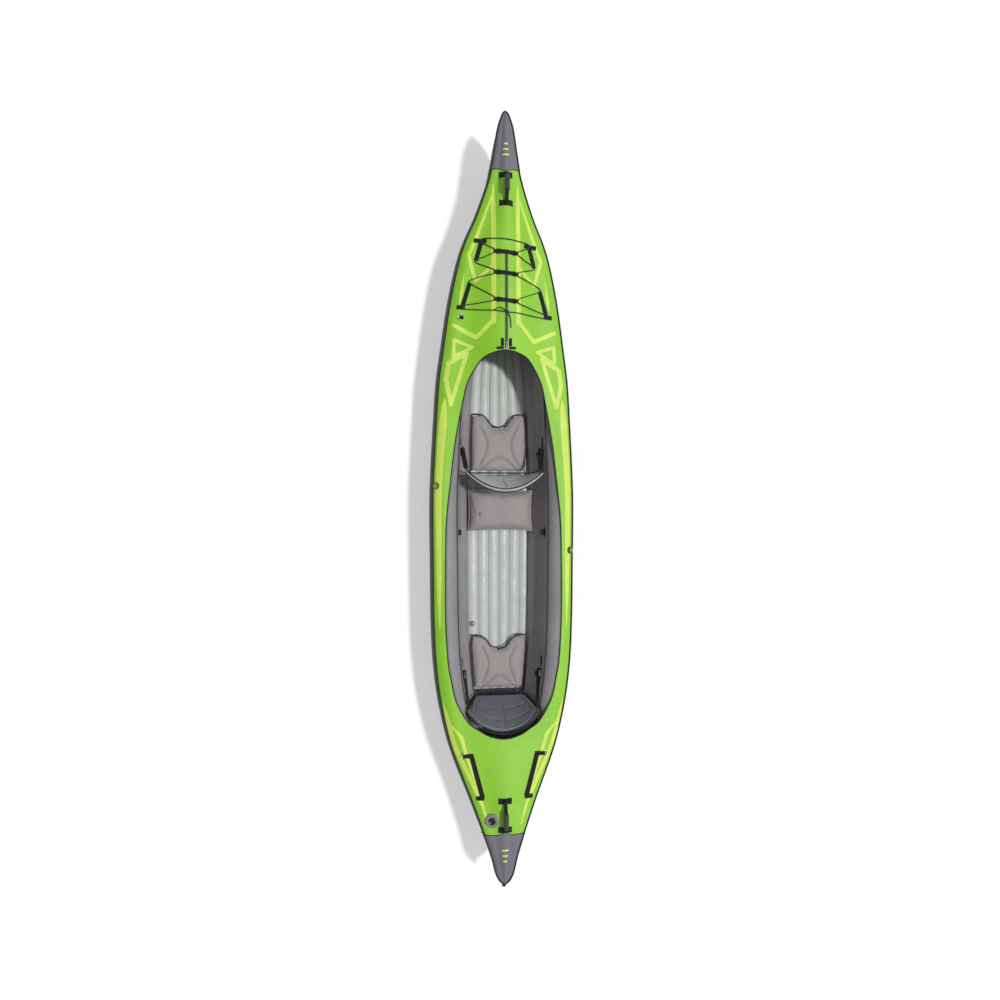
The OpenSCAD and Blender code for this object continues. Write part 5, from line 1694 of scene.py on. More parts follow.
@dataclass
class Backrest:
    """A curled, padded backrest that stands on its hinge line, with twin piping round its upper edge."""

    name: str
    node: str
    body: str
    at_y: float
    lean_degrees: float
    half_low: float
    half_high: float
    cloth: str
    rows_sewn: tuple = (0.42, 0.70)
    dashes: int = 9

    def surface(self, s: Array, u: Array, behind: Array) -> Array:
        """Returns points of the panel in the boat's frame.

        At height s up the panel and share u of its half width, the panel curls forward by
        wrap * s/length * u^2, level with the ground, and its top corners drop by drop * s/length * u^4.

        Args:
            s: metres up the panel.
            u: the share of its half width, -1 to 1.
            behind: metres behind its front face.

        Returns:
            The points.
        """
        lean = math.radians(self.lean_degrees)
        curl = BACK_WRAP * s / BACK_LEN * u**2
        drop = CORNER_DROP * s / BACK_LEN * u**4
        half = self.half_low + (self.half_high - self.half_low) * (s / BACK_LEN)**0.8
        x = u * half
        y = curl * math.cos(lean) - behind
        z = s - drop - curl * math.sin(lean)
        return np.stack([x, self.at_y - HINGE_BACK + y * math.cos(lean) - z * math.sin(lean),
                         HINGE_Z + y * math.sin(lean) + z * math.cos(lean)], -1)

    def edge(self, behind: float, out: float) -> Array:
        """Returns the panel's edge from one foot over the top to the other, a little inside it."""
        low, high = FOOT_GAP + 0.012, BACK_LEN - out
        up = np.linspace(low, high - 0.02, 40)
        turn = np.linspace(0, np.pi / 2, 12)[1:-1]
        side = 1 - out / 0.2
        corner_s = high - 0.02 + 0.02 * np.sin(turn)
        corner_u = side - 0.09 + 0.09 * np.cos(turn)
        across = np.linspace(side - 0.09, -side + 0.09, 90)
        s = np.concatenate([up, corner_s, np.full(90, high), corner_s[::-1], up[::-1]])
        u = np.concatenate([np.full(40, side), corner_u, across, -corner_u[::-1], np.full(40, -side)])
        return smooth_path(self.surface(s, u, np.full(len(s), behind)), 220)

    def sewn(self) -> list[Array]:
        """Returns the sewn dashes as (s, u) lines: two rows across and one upright by the middle."""
        lines = []
        for row in self.rows_sewn:
            for k in range(self.dashes):
                mid = (k - (self.dashes - 1) / 2) / self.dashes * 1.55
                if abs(mid) > 0.07:
                    lines.append(np.array([(row * BACK_LEN, mid - 0.05), (row * BACK_LEN, mid + 0.05)]))
        lines.append(np.array([(0.3 * BACK_LEN, 0.03), (0.84 * BACK_LEN, 0.03)]))
        for side in (-1, 1):
            lines.append(np.array([(0.18 * BACK_LEN, side * 0.80), (0.9 * BACK_LEN, side * 0.83)]))
        return lines

    def build(self, kit: Finishes) -> None:
        """Makes the backrest with its piping, gusset and stitches."""
        u, s = np.meshgrid(np.linspace(-1, 1, 81), np.linspace(0, 1, 49))
        ease = (1 - np.abs(u)**12)**0.5 * (1 - np.abs(2 * s - 1)**12)**0.5
        height = FOOT_GAP + 0.003 + (BACK_LEN - FOOT_GAP - 0.008) * s
        front = self.surface(height, u * 0.98, BACK_T / 2 - (BACK_T / 2 - 0.006) * ease)
        back = self.surface(height, u * 0.98, BACK_T / 2 + (BACK_T / 2 - 0.006) * ease)
        stock = Stock()
        stock.pillow(front, back)
        pad = stock.build(self.name)
        Air.fill(pad, 0.0055, 0.005)
        forward = np.array([0.0, 1.0, 0.25])
        points = Air.points(pad.data)
        lines = [self.surface(line[:, 0], line[:, 1], 0.0)[:, ::2] for line in map(self.dense, self.sewn())]
        middle = self.nearest_behind(points) < BACK_T / 2
        deep = np.where(middle, groove(points, lines, 0.0055, 0.006, (0, 2)), 0)
        points = points - deep[:, None] * unit(forward)
        Air.put(pad, points)
        Air.refine(pad)
        piece(pad, kit, self.cloth, (self.node,), self.body)

        cord, thread = Stock(), Stock()
        for behind in (0.003, BACK_T - 0.003):
            cord.tube(self.edge(behind, 0.0035), 0.0036, 8, up=(0, 1, 0))
        piece(cord.build(self.name + "_piping"), kit, "piping_rubber", (), self.body)
        for line in map(self.dense, self.sewn()):
            start = self.surface(line[:, 0], line[:, 1], 0.0) + unit(forward) * 0.06
            laid = Air.lay(pad, start, -forward, 0.0006)
            across = unit(np.cross(np.gradient(laid, axis=0), forward))
            thread.stitches(laid, across, 0.007, 0.0008)
        piece(thread.build(self.name + "_stitching"), kit, "thread_dark", (), self.body)
        flap = Stock()
        u = np.linspace(-0.93, 0.93, 50)
        low = self.surface(np.full(50, 0.002), u, np.full(50, BACK_T / 2))
        flap.ribbon(low + np.array([0, 0, -0.001]), np.array([0.0, 1.0, 0.0]), 0.009, 0.003)
        piece(flap.build(self.name + "_hinge_tape"), kit, "webbing", (), self.body)

    def dense(self, line: Array) -> Array:
        """Returns a sewn line with points close together."""
        t = np.linspace(0, 1, 14)[:, None]
        return line[0] + (line[1] - line[0]) * t

    def nearest_behind(self, points: Array) -> Array:
        """Returns how far points lie behind the panel's front face, from the inverse of the panel's formula."""
        lean = math.radians(self.lean_degrees)
        dy, dz = points[:, 1] - self.at_y + HINGE_BACK, points[:, 2] - HINGE_Z
        y = dy * math.cos(lean) + dz * math.sin(lean)
        z = -dy * math.sin(lean) + dz * math.cos(lean)
        u = np.zeros(len(points))
        s = np.clip(z, 0, BACK_LEN)
        for _ in range(6):
            half = self.half_low + (self.half_high - self.half_low) * (s / BACK_LEN)**0.8
            u = np.clip(points[:, 0] / half, -1, 1)
            curl = BACK_WRAP * s / BACK_LEN * u**2
            s = np.clip(z + CORNER_DROP * s / BACK_LEN * u**4 + curl * math.sin(lean), 0, BACK_LEN)
        return BACK_WRAP * s / BACK_LEN * u**2 * math.cos(lean) - y


@dataclass
class Footrest:
    """The inflated footrest pillow: two sheets welded round their edge, drawn in between the corners."""

    half_x: float = 0.211
    half_y: float = 0.136
    half_z: float = 0.062
    at_x: float = 0.004
    at_y: float = -0.060
    body: str = "footrest"

    def build(self, kit: Finishes) -> None:
        """Makes the pillow with its welded edge and valve."""
        middle = FLOOR_TOP + self.half_z + 0.002
        u, v = np.meshgrid(np.linspace(-1, 1, 73), np.linspace(-1, 1, 53))
        pull = 1 - 0.035 * (1 - u**2) * np.abs(v)**3
        pull_x = 1 - 0.03 * (1 - v**2) * np.abs(u)**3
        bulge = ((1 - np.abs(u)**5) * (1 - np.abs(v)**3.6)).clip(0)**0.5
        x, y = self.at_x + u * (self.half_x - 0.012) * pull_x, self.at_y + v * (self.half_y - 0.012) * pull
        high = 0.004 + (self.half_z - 0.016) * bulge
        top = np.stack([x, y, middle + high], -1)
        under = np.stack([x, y, middle - high], -1)
        stock = Stock()
        stock.pillow(top, under)
        pad = stock.build("footrest_pillow")
        Air.fill(pad, 0.006, 0.006)
        points = Air.points(pad.data)
        points[:, 2] = np.maximum(points[:, 2], FLOOR_TOP + 0.0005)
        Air.put(pad, points)
        Air.refine(pad)
        piece(pad, kit, "seat_cloth", ("footrest_cushion",), self.body)

        flat = np.stack([x, y], -1)
        border = np.vstack([flat[0], flat[1:, -1], flat[-1, ::-1][1:], flat[::-1, 0][1:-1]])
        border = smooth_path(border[::3], 220, closed=True)
        out = unit(np.roll(border, -1, 0) - np.roll(border, 1, 0)) @ np.array([[0, -1.0], [1.0, 0]])
        flange = Stock()
        path = np.column_stack([border - out * 0.004, np.full(len(border), middle - 0.001)])
        path = np.vstack([path, path[:1]])
        flange.ribbon(path, np.column_stack([np.vstack([out, out[:1]]), np.zeros(len(path))]), 0.0045, 0.002)
        piece(flange.build("footrest_weld"), kit, "seat_cloth", (), self.body)
        valve = Stock()
        spot = np.array([[-0.120, self.at_y - 0.020, middle + 0.2]])
        foot = Air.lay(pad, spot, (0, 0, -1), 0.0)[0]
        turned = np.array([(0, -0.002), (0.015, -0.002), (0.015, 0.001), (0.013, 0.0018), (0.0095, 0.002),
                           (0.009, 0.008), (0.008, 0.0095), (0.003, 0.0095), (0.0025, 0.0115), (0, 0.0115)])
        valve.turned(turned, Placing(tuple(foot)), 32)
        piece(valve.build("footrest_valve_stem"), kit, "seat_cloth", ("footrest_valve",), self.body)


@dataclass
class Straps:
    """The webbing straps, buckles and anchors of one backrest, mirrored across the boat."""

    which: str
    joint_body: str
    rest: Backrest
    anchor: tuple
    half_web: float = 0.0155

    def run(self, side: int) -> tuple[Array, Array]:
        """Returns a strap's middle line, bowed a little, and its two ends' spread."""
        start = np.array(self.anchor)
        corner = self.rest.surface(np.array([0.72 * BACK_LEN]), np.array([1.0]), np.array([0.0]))[0]
        end = corner + np.array([0.0026, 0.004, 0])
        t = np.linspace(0, 1, 40)[:, None]
        path = start + (end - start) * t
        path[:, 2] -= 0.006 * np.sin(np.pi * t[:, 0])
        path = path * np.array([side, 1.0, 1.0])
        return path, np.array([side * 0.94, 0.0, 0.34])

    def build(self, kit: Finishes) -> None:
        """Makes the straps, their loose tails and the buckles."""
        buckles, thread = Stock(), Stock()
        for side, name in ((-1, "port"), (1, "starboard")):
            path, across = self.run(side)
            strap = Stock()
            strap.ribbon(path + np.array([0.0008 * side, 0, 0]), across, self.half_web, 0.0016)
            made = strap.build(f"{self.which}_strap_web_{name}")
            kit.dress(made, "webbing")
            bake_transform(made)
            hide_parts(f"{self.which}_strap_{name}")
            heading = unit(path[8] - path[2])
            foot = path[6]
            at = facing(foot, heading, (side, 0, 0))
            w = self.half_web
            for low, high in (((-w - 0.005, -0.02, -0.0045), (-w - 0.001, 0.02, 0.0045)),
                              ((w + 0.001, -0.02, -0.0045), (w + 0.005, 0.02, 0.0045)),
                              ((-w - 0.004, 0.015, -0.004), (w + 0.004, 0.020, 0.004)),
                              ((-w - 0.004, -0.020, -0.004), (w + 0.004, -0.015, 0.004)),
                              ((-w - 0.004, -0.003, 0.001), (w + 0.004, 0.003, 0.006)),
                              ((-w + 0.003, -0.030, -0.002), (w - 0.003, -0.019, 0.001))):
                buckles.block(low, high, at, 0.0015)
            tail = foot + np.array([(-side * 0.006, 0.0, 0.0), (-side * 0.010, -0.012, -0.03),
                                    (-side * 0.011, -0.016, -0.075)])
            loose = Stock()
            loose.ribbon(smooth_path(tail, 14), np.array([0.0, 1.0, 0.1]), self.half_web * 0.9, 0.0015)
            piece(loose.build(f"{self.which}_strap_tail_{name}"), kit, "webbing", ())
        nodes = ("strap_buckles",) if self.which == "front" else ()
        piece(buckles.build(f"{self.which}_buckles"), kit, "buckle_plastic", nodes)


class Seating:
    """Both seats, the footrest, and everything that ties them to the hull."""

    def build(self, kit: Finishes) -> None:
        """Makes the seats."""
        front = Backrest("front_back_pad", "front_seat_back", "front_backrest", 0.172, 18, 0.150, 0.243,
                         "front_back_cloth")
        rear = Backrest("rear_back_pad", "rear_seat_back", "rear_backrest", -1.168, 38, 0.142, 0.232,
                        "back_cloth")
        SeatBase("front_seat_pad", "front_seat_base", 0.534, 0.172, 0.176, 0.180).build(kit)
        SeatBase("rear_seat_pad", "rear_seat_base", -0.830, -1.168, 0.180, 0.158).build(kit)
        front.build(kit)
        rear.build(kit)
        Footrest().build(kit)
        Straps("front", "front_backrest", front, (0.239, 0.318, 0.246)).build(kit)
        Straps("rear", "rear_backrest", rear, (0.230, -1.012, 0.246)).build(kit)
        self.anchors(kit)

    @staticmethod
    def liner_x(y: float) -> float:
        """Returns how far out the liner's face stands at mid height."""
        row = np.array([y])
        return float(Hull.upper_c(row)[0, 0] - Hull.upper_r(row)[0] + TUBE_INSET - 0.0036)

    def anchors(self, kit: Finishes) -> None:
        """Makes the anchor patches with box stitching, and the spare buckles that hang from two of them."""
        patch, thread, spare = Stock(), Stock(), Stock()
        for y in (0.356, -0.974, -0.190):
            x = min(self.liner_x(y - 0.03), self.liner_x(y + 0.03)) - 0.0017
            for side in (1, -1):
                face = side * (x - 0.003)
                line = np.linspace((side * x, y - 0.03, 0.247), (side * x, y + 0.03, 0.247), 12)
                back = np.array([side * 0.0002, 0, 0])
                patch.ribbon(line - back, np.array([0, 0, -side * 1.0]), 0.015, 0.003)
                box = [(-0.025, -0.011), (0.025, -0.011), (0.025, 0.011), (-0.025, 0.011), (-0.025, -0.011),
                       (0.025, 0.011), (0.025, -0.011), (-0.025, 0.011)]
                for a, b in zip(box[:-1], box[1:]):
                    t = np.linspace(0, 1, 8)[:, None]
                    yz = np.array(a) + (np.array(b) - np.array(a)) * t
                    path = np.column_stack([np.full(8, face - side * 0.0002), y + yz[:, 0], 0.247 + yz[:, 1]])
                    across = np.cross(unit(path[-1] - path[0]), np.array([side, 0.0, 0.0]))
                    thread.stitches(path, across, 0.004, 0.0005)
        x = self.liner_x(-0.190) - 0.014
        for side in (1, -1):
            at = facing(np.array([side * (x - 0.0045), -0.190, 0.224]), (0, 0, -1.0), (-side, 0, 0))
            for low, high in (((-0.016, 0.002, -0.0045), (0.016, 0.024, 0.0045)),
                              ((-0.013, -0.024, -0.0035), (0.013, 0.004, 0.0035)),
                              ((-0.017, -0.016, -0.003), (-0.0125, 0.006, 0.003)),
                              ((0.0125, -0.016, -0.003), (0.017, 0.006, 0.003)),
                              ((-0.006, 0.008, 0.003), (0.006, 0.020, 0.0052))):
                spare.block(low, high, at, 0.0018)
            hang = np.array([(side * (x + 0.011), -0.190, 0.250), (side * (x + 0.002), -0.190, 0.256),
                             (side * (x - 0.0045), -0.190, 0.244)])
            patch.ribbon(smooth_path(hang, 14), np.array([0, side * 1.0, 0]), 0.0115, 0.0016)
        piece(patch.build("strap_anchor_patches"), kit, "webbing", ("strap_anchors",))
        piece(thread.build("strap_anchor_stitching"), kit, "thread_grey", ())
        made = piece(spare.build("spare_side_buckles"), kit, "buckle_plastic", ("spare_buckles",))


# ------------------------------------------------------------------ deck fittings
LACING = MM * np.array([
    [60, 1100], [130, 1100], [200, 1100], [238, 1100], [257, 1110], [244, 1122], [190, 1133], [120, 1147],
    [72, 1158], [61, 1168], [72, 1180], [130, 1212], [196, 1246], [214, 1259], [200, 1273], [140, 1297],
    [73, 1313], [61, 1325], [73, 1337], [120, 1356], [160, 1371], [179, 1383], [163, 1397], [120, 1414],
    [72, 1437], [61, 1448], [72, 1460], [110, 1480], [134, 1493], [143, 1508], [129, 1521], [70, 1521]], float)
LACING_LIFT = CORD_R + 0.0046


@dataclass
class Lacing:
    """The shock cord on the foredeck, its webbing strips and bars, its knot and its two tails."""

    strip_ys: tuple = (1.446, 1.324, 1.166)
    tail_port: tuple = ((-14, 1108), (-26, 1116), (-40, 1119), (-54, 1114), (-66, 1106), (-74, 1100))
    tail_starboard: tuple = ((14, 1084), (19, 1070), (23, 1054), (25, 1038), (24, 1022), (28, 1008))
    diameter: float = 2 * CORD_R
    skew: float = 0.085

    def skewed(self, xy: Array) -> Array:
        """Returns points of the deck moved forward to port and aft to starboard, as the lacing is sewn on."""
        return np.column_stack([xy[:, 0], xy[:, 1] - self.skew * xy[:, 0]])

    def route(self) -> Array:
        """Returns the cord's route from the knot round the starboard side, over the bow and back down port."""
        right = LACING
        left = right[::-1] * np.array([-1.0, 1.0])
        whole = smooth_path(np.vstack([[(0.012, 1.096)], right, [(0.0, 1.520)], left, [(-0.012, 1.096)]]), 1000)
        for _ in range(10):
            whole[1:-1] = 0.5 * whole[1:-1] + 0.25 * (whole[:-2] + whole[2:])
        return Hull.on_deck(self.skewed(whole), LACING_LIFT)

    def cord(self, kit: Finishes, name: str, path: Array, far_end: str, lay: str, pieces: list) -> None:
        """Makes a length of shock cord.

        Args:
            kit: the finishes.
            name: the piece's name.
            path: the points that it follows.
            far_end: what is on its end; not used.
            lay: how it lies.
            pieces: the pieces on it; not used.
        """
        stock = Stock()
        stock.tube(path, CORD_R, 10)
        made = stock.build(name)
        piece(made, kit, "cord_braid", ("deck_lacing",) if lay == "taut" else ())

    def tails(self) -> list[Array]:
        """Returns the two tails' routes, which start in the knot."""
        routes = []
        for plan, at in ((self.tail_port, -0.006), (self.tail_starboard, 0.006)):
            xy = np.vstack([[(at, 1.099)], MM * np.array(plan, float)])
            routes.append(Hull.on_deck(self.skewed(smooth_path(xy, 60)), LACING_LIFT - 0.001))
        return routes

    def knot(self) -> Stock:
        """Returns the knot: a flattened three-lobed trefoil of cord, drawn up small."""
        t = np.linspace(0, 2 * np.pi, 90, endpoint=False)
        x = 0.0042 * (np.sin(t) + 1.7 * np.sin(2 * t))
        y = 0.0038 * (np.cos(t) - 1.7 * np.cos(2 * t))
        z = -0.0026 * np.sin(3 * t)
        xy = np.stack([x, 1.098 + y], 1)
        base = Hull.on_deck(xy, LACING_LIFT)
        stock = Stock()
        stock.tube(base + np.column_stack([0 * x, 0 * x, z]), CORD_R * 0.9, 8, loop=True)
        return stock

    def strip(self, stock: Stock, thread: Stock, ends: tuple, half: tuple, lift: float,
              count: int = 24) -> None:
        """Adds a webbing strip that lies on the deck, with a row of stitches along each edge.

        Args:
            stock: takes the strip.
            thread: takes the stitches.
            ends: the (x, y) of both ends, or of more points along it.
            half: half its width at both ends and in the middle.
            lift: the height of its lower face above the deck.
            count: points along it.
        """
        xy = smooth_path(np.array(ends, float), count)
        t = np.linspace(0, 1, count)
        wide = np.interp(np.abs(2 * t - 1), [0, 0.4, 1], [half[1], half[1], half[0]])
        run = unit(np.gradient(xy, axis=0))
        side = np.stack([run[:, 1], -run[:, 0]], 1)
        sec_w, sec_h = RIBBON[:, 0], RIBBON[:, 1]
        grid_xy = xy[:, None] + (wide[:, None] * sec_w)[..., None] * side[:, None]
        p = Hull.on_deck(grid_xy, lift)
        p[..., 2] += 0.0022 * sec_h
        stock.grid(p, wrap=True, caps=True)
        for off in (-1, 1):
            line = Hull.on_deck(xy + side * (off * (wide - 0.0028))[:, None], lift + 0.0024)
            thread.stitches(line[1:-1], np.column_stack([side, np.zeros(count)])[1:-1], 0.0045, 0.0005)

    def build(self, kit: Finishes) -> None:
        """Makes the lacing."""
        route = self.route()
        knot = piece(self.knot().build("lacing_knot"), kit, "cord_braid", ())
        self.cord(kit, "deck_shock_cord", route, "knot", "taut", [knot])
        port, starboard = self.tails()
        stock = Stock()
        for name, path in (("port", port), ("starboard", starboard)):
            tail = Stock()
            tail.tube(path, CORD_R, 10)
            made = tail.build(f"shock_cord_tail_{name}")
            piece(made, kit, "cord_braid", ("lacing_tails",) if name == "port" else ())
        thread = Stock()
        for y in self.strip_ys:
            ends = self.skewed(np.array([(-0.056, y), (0.0, y), (0.056, y)]))
            self.strip(stock, thread, ends, (0.0155, 0.0115), 0.003)
        loops = Stock()
        for s in (-1, 1):
            for bar in (((0.140, 1.505), (0.173, 1.388)), ((0.208, 1.256), (0.250, 1.113))):
                self.strip(stock, thread, self.skewed(np.array(bar) * (s, 1.0)), (0.0125, 0.0125), 0.0012)
            for foot in (((0.112, 1.505), (0.185, 1.505)), ((0.236, 1.108), (0.283, 1.108))):
                self.strip(stock, thread, self.skewed(np.array(foot) * (s, 1.0)), (0.012, 0.012), 0.0036, 10)
            for y in self.strip_ys:
                self.loop(loops, s * 0.056, y - self.skew * s * 0.056, s * 0.066)
        piece(stock.build("lacing_webbing_strips"), kit, "webbing", ("lacing_webbing",))
        piece(loops.build("lacing_webbing_loops"), kit, "webbing", ())
        piece(thread.build("lacing_webbing_stitching"), kit, "thread_grey", ())

    def loop(self, stock: Stock, x: float, y: float, tip: float) -> None:
        """Adds a loop of webbing from a strip's end out over the cord and back under it."""
        turn = np.linspace(-0.5 * np.pi, 0.5 * np.pi, 12)
        reach = abs(tip) - abs(x)
        out = np.concatenate([[-0.01], reach + 0.0045 * np.cos(turn), [-0.01]])
        high = np.concatenate([[0.0014], LACING_LIFT + 0.0052 * np.sin(turn), [0.0085]])
        xy = np.stack([x + np.sign(x) * out, np.full(len(out), y)], 1)
        base = Hull.on_deck(xy, 0.0)
        base[:, 2] += np.maximum(high, 0.0012)
        stock.ribbon(base, np.array([0.0, np.sign(x), 0.0]), 0.009, 0.0012)


@dataclass
class Handle:
    """A carry handle: a ribbed rubber grip that swings on an axle between two webbing mounts."""

    name: str
    side: int
    axle_z: float
    inner: float
    outer: float
    middle: float
    body: str
    grip_r: float = 0.0148
    rise: float = 0.022
    half: float = 0.046

    def build(self, kit: Finishes, lacing: Lacing) -> None:
        """Makes the handle."""
        s, z = self.side, self.axle_z
        y = np.linspace(-self.half, self.half, 120) + self.middle
        ribs = self.grip_r + 0.0011 * np.cos(2 * np.pi * (y - self.middle) / 0.0085)
        end = np.minimum((y - y[0]) / 0.006, (y[-1] - y) / 0.006).clip(0, 1)
        ribs = ribs * (0.72 + 0.28 * np.sqrt(1 - (1 - end)**2))
        grip = Stock()
        grip.tube(np.column_stack([0 * y, s * y, np.full(len(y), z + self.rise)]), ribs, 20, flat=0.88)
        piece(grip.build(f"{self.name}_rubber_grip"), kit, "grip_rubber", (f"{self.name}_grip",), self.body)

        web = Stock()
        far, near = self.half, -self.half
        for foot, edge, sign in ((self.inner, self.middle + near, -1), (self.outer, self.middle + far, 1)):
            reach = abs(foot - edge)
            pts = [(edge - sign * 0.030, z + self.rise), (edge + sign * 0.002, z + self.rise - 0.001),
                   (edge + sign * min(0.012, reach * 0.5), z + self.rise * 0.45),
                   (edge + sign * reach * 0.6, z + 0.001),
                   (foot - sign * 0.004, z)]
            path = smooth_path(np.array([(0.0, s * py, pz) for py, pz in pts]), 26)
            web.ribbon(path - np.array([0, 0, 0.0015]), np.array([sign * s * 1.0, 0.0, 0.0]), 0.0105, 0.003)
            pin = np.linspace(foot - 0.0085, foot + 0.0085, 6)
            web.tube(np.column_stack([0 * pin, s * pin, np.full(6, z)]), 0.0034, 16)
        piece(web.build(f"{self.name}_web"), kit, "webbing", (), self.body)

        patch, thread, lug = Stock(), Stock(), Stock()
        for y0 in (self.inner, self.outer):
            ends = ((-0.040, s * y0), (0.0, s * y0), (0.040, s * y0))
            lacing.strip(patch, thread, ends, (0.018, 0.0165), 0.0012)
            deck = float(Hull.deck_z(np.zeros(1), np.array([s * y0]))[0]) + 0.0026
            turn = np.linspace(-0.12 * np.pi, 1.12 * np.pi, 22)
            arch = np.column_stack([0.0062 * np.cos(turn), np.full(22, s * y0), z + 0.0062 * np.sin(turn)])
            feet = np.array([(0.017, s * y0, deck + 0.0004), (0.0095, s * y0, deck + 0.001)])
            path = np.vstack([feet, arch, feet[::-1] * np.array([-1.0, 1.0, 1.0])])
            lug.ribbon(smooth_path(path, 60), np.array([0.0, -1.0, 0.0]), 0.0058, 0.0016)
        piece(patch.build(f"{self.name}_patches"), kit, "webbing", (f"{self.name}_mounts",))
        piece(lug.build(f"{self.name}_lugs"), kit, "webbing", ())
        piece(thread.build(f"{self.name}_stitching"), kit, "thread_grey", ())


@dataclass
class Rings:
    """The D rings on the decks, each turning on its straight bar in a folded webbing tab."""

    ring_r: float = 0.017
    wire_r: float = 0.0022
    slope: float = math.radians(14)

    def ring(self, x: float, y: float, side: int) -> tuple[Stock, Stock]:
        """Returns a ring and its tab.

        Args:
            x: its bar's place across.
            y: its bar's place along.
            side: which way it hangs out.

        Returns:
            The ring and the tab.
        """
        z = float(Hull.deck_z(np.array([x]), np.array([y]))[0]) + 0.0055
        turn = np.linspace(-np.pi / 2, np.pi / 2, 30)
        arc = np.stack([self.ring_r * np.cos(turn), self.ring_r * np.sin(turn)], 1)
        bar = np.column_stack([np.zeros(8), np.linspace(self.ring_r, -self.ring_r, 10)[1:-1]])
        flat = np.vstack([arc, bar])
        path = np.column_stack([x + side * flat[:, 0] * math.cos(self.slope), y + flat[:, 1],
                                z - flat[:, 0] * math.sin(self.slope)])
        ring = Stock()
        ring.tube(path, self.wire_r, 12, loop=True, up=(side * math.sin(self.slope), 0, math.cos(self.slope)))
        tab = Stock()
        fold = np.linspace(-0.5 * np.pi, 0.5 * np.pi, 9)
        r = self.wire_r + 0.0007
        xs = np.concatenate([[-0.018, -0.010], r * np.cos(fold), [-0.010, -0.018]])
        zs = np.concatenate([[-0.0046, -0.0042], r * np.sin(fold), [0.0012, -0.0022]])
        run = np.column_stack([x + side * xs, np.full(len(xs), y), z + zs])
        run[:, 2] = np.maximum(run[:, 2], Hull.deck_z(run[:, 0], run[:, 1]) + 0.0006)
        tab.ribbon(run, np.array([0.0, side * 1.0, 0.0]), 0.010, 0.0012)
        return ring, tab

    def build(self, kit: Finishes) -> None:
        """Makes the rings and tabs."""
        tabs = Stock()
        for name, body, x, y, side in (("bow_ring", "bow_d_ring", -0.262, 1.072, -1),
                                       ("stern_ring_starboard", "stern_d_ring_starboard", 0.240, -1.498, 1),
                                       ("stern_ring_port", "stern_d_ring_port", -0.240, -1.498, -1)):
            ring, tab = self.ring(x, y, side)
            piece(ring.build(name + "_wire"), kit, "ring_steel", (name,), body)
            tabs.take(tab)
        piece(tabs.build("ring_web_tabs"), kit, "webbing", ("ring_tabs",))


class SternWebbing:
    """The two webbing bars on the stern deck, each with a foot at both ends."""

    def build(self, kit: Finishes, lacing: Lacing) -> None:
        """Makes the bars."""
        stock, thread = Stock(), Stock()
        for s in (-1, 1):
            bar = ((s * 0.195, -1.500), (s * 0.163, -1.622), (s * 0.130, -1.745))
            lacing.strip(stock, thread, bar, (0.014, 0.014), 0.0012)
            for foot in (((s * 0.184, -1.497), (s * 0.224, -1.497)),
                         ((s * 0.122, -1.745), (s * 0.168, -1.745))):
                lacing.strip(stock, thread, foot, (0.0125, 0.0125), 0.0036, 10)
        piece(stock.build("stern_webbing_bars"), kit, "webbing", ("stern_webbing",))
        piece(thread.build("stern_webbing_stitching"), kit, "thread_grey", ())


class Zip:
    """The deck's zip: its tape and teeth, and the webbing tabs that cross it by the rim."""

    def build(self, kit: Finishes, lacing: Lacing) -> None:
        """Makes the zip."""
        tape, teeth, tabs, thread = Stock(), Stock(), Stock(), Stock()
        y = np.linspace(0.890, 1.460, 160)
        sec_w, sec_h = RIBBON[:, 0] * 0.0092, RIBBON[:, 1] * 0.0011
        xy = np.stack([np.broadcast_to(sec_w, (160, 14)), np.broadcast_to(y[:, None], (160, 14))], -1)
        p = Hull.on_deck(xy, 0.0007)
        p[..., 2] += sec_h
        tape.grid(p, wrap=True, caps=True)
        for off in (-0.0072, 0.0072):
            line = Hull.on_deck(np.column_stack([np.full(160, off), y]), 0.0021)
            thread.stitches(line, np.array([1.0, 0, 0]), 0.005, 0.0005)
        pitch = 0.0042
        at = np.arange(0.892, 1.458, pitch)
        for shift, sign in ((0.0, 1), (pitch / 2, -1)):
            middle = Hull.on_deck(np.column_stack([np.full(len(at), sign * 0.0012), at + shift]), 0.0027)
            box = np.array([(-1, -1, -1), (1, -1, -1), (1, 1, -1), (-1, 1, -1), (-0.7, -0.7, 1), (0.7, -0.7, 1),
                            (0.7, 0.7, 1), (-0.7, 0.7, 1)]) * np.array([0.0023, 0.00085, 0.0009])
            corners = (middle[:, None] + box).reshape(-1, 3)
            shape = np.array([(0, 3, 2, 1), (4, 5, 6, 7), (0, 1, 5, 4),
                              (1, 2, 6, 5), (2, 3, 7, 6), (3, 0, 4, 7)])
            faces = (shape[None] + (np.arange(len(at)) * 8)[:, None, None]).reshape(-1, 4)
            teeth._add(corners, [faces], [np.zeros((len(faces), 4, 2))])
        piece(tape.build("zip_woven_tape"), kit, "zip_cloth", ("zip_tape",))
        piece(teeth.build("zip_teeth_rows"), kit, "zip_teeth", ())
        for x in (-0.024, 0.024):
            lacing.strip(tabs, thread, ((x, 0.898), (x, 0.945)), (0.0085, 0.0085), 0.0014, 12)
        lacing.strip(tabs, thread, ((-0.056, 0.8885), (-0.0165, 0.8885)), (0.007, 0.007), 0.0040, 14)
        lacing.strip(tabs, thread, ((0.0165, 0.8885), (0.056, 0.8885)), (0.007, 0.007), 0.0040, 14)
        piece(tabs.build("coaming_tabs"), kit, "webbing", ())
        piece(thread.build("coaming_stitching"), kit, "thread_grey", ())


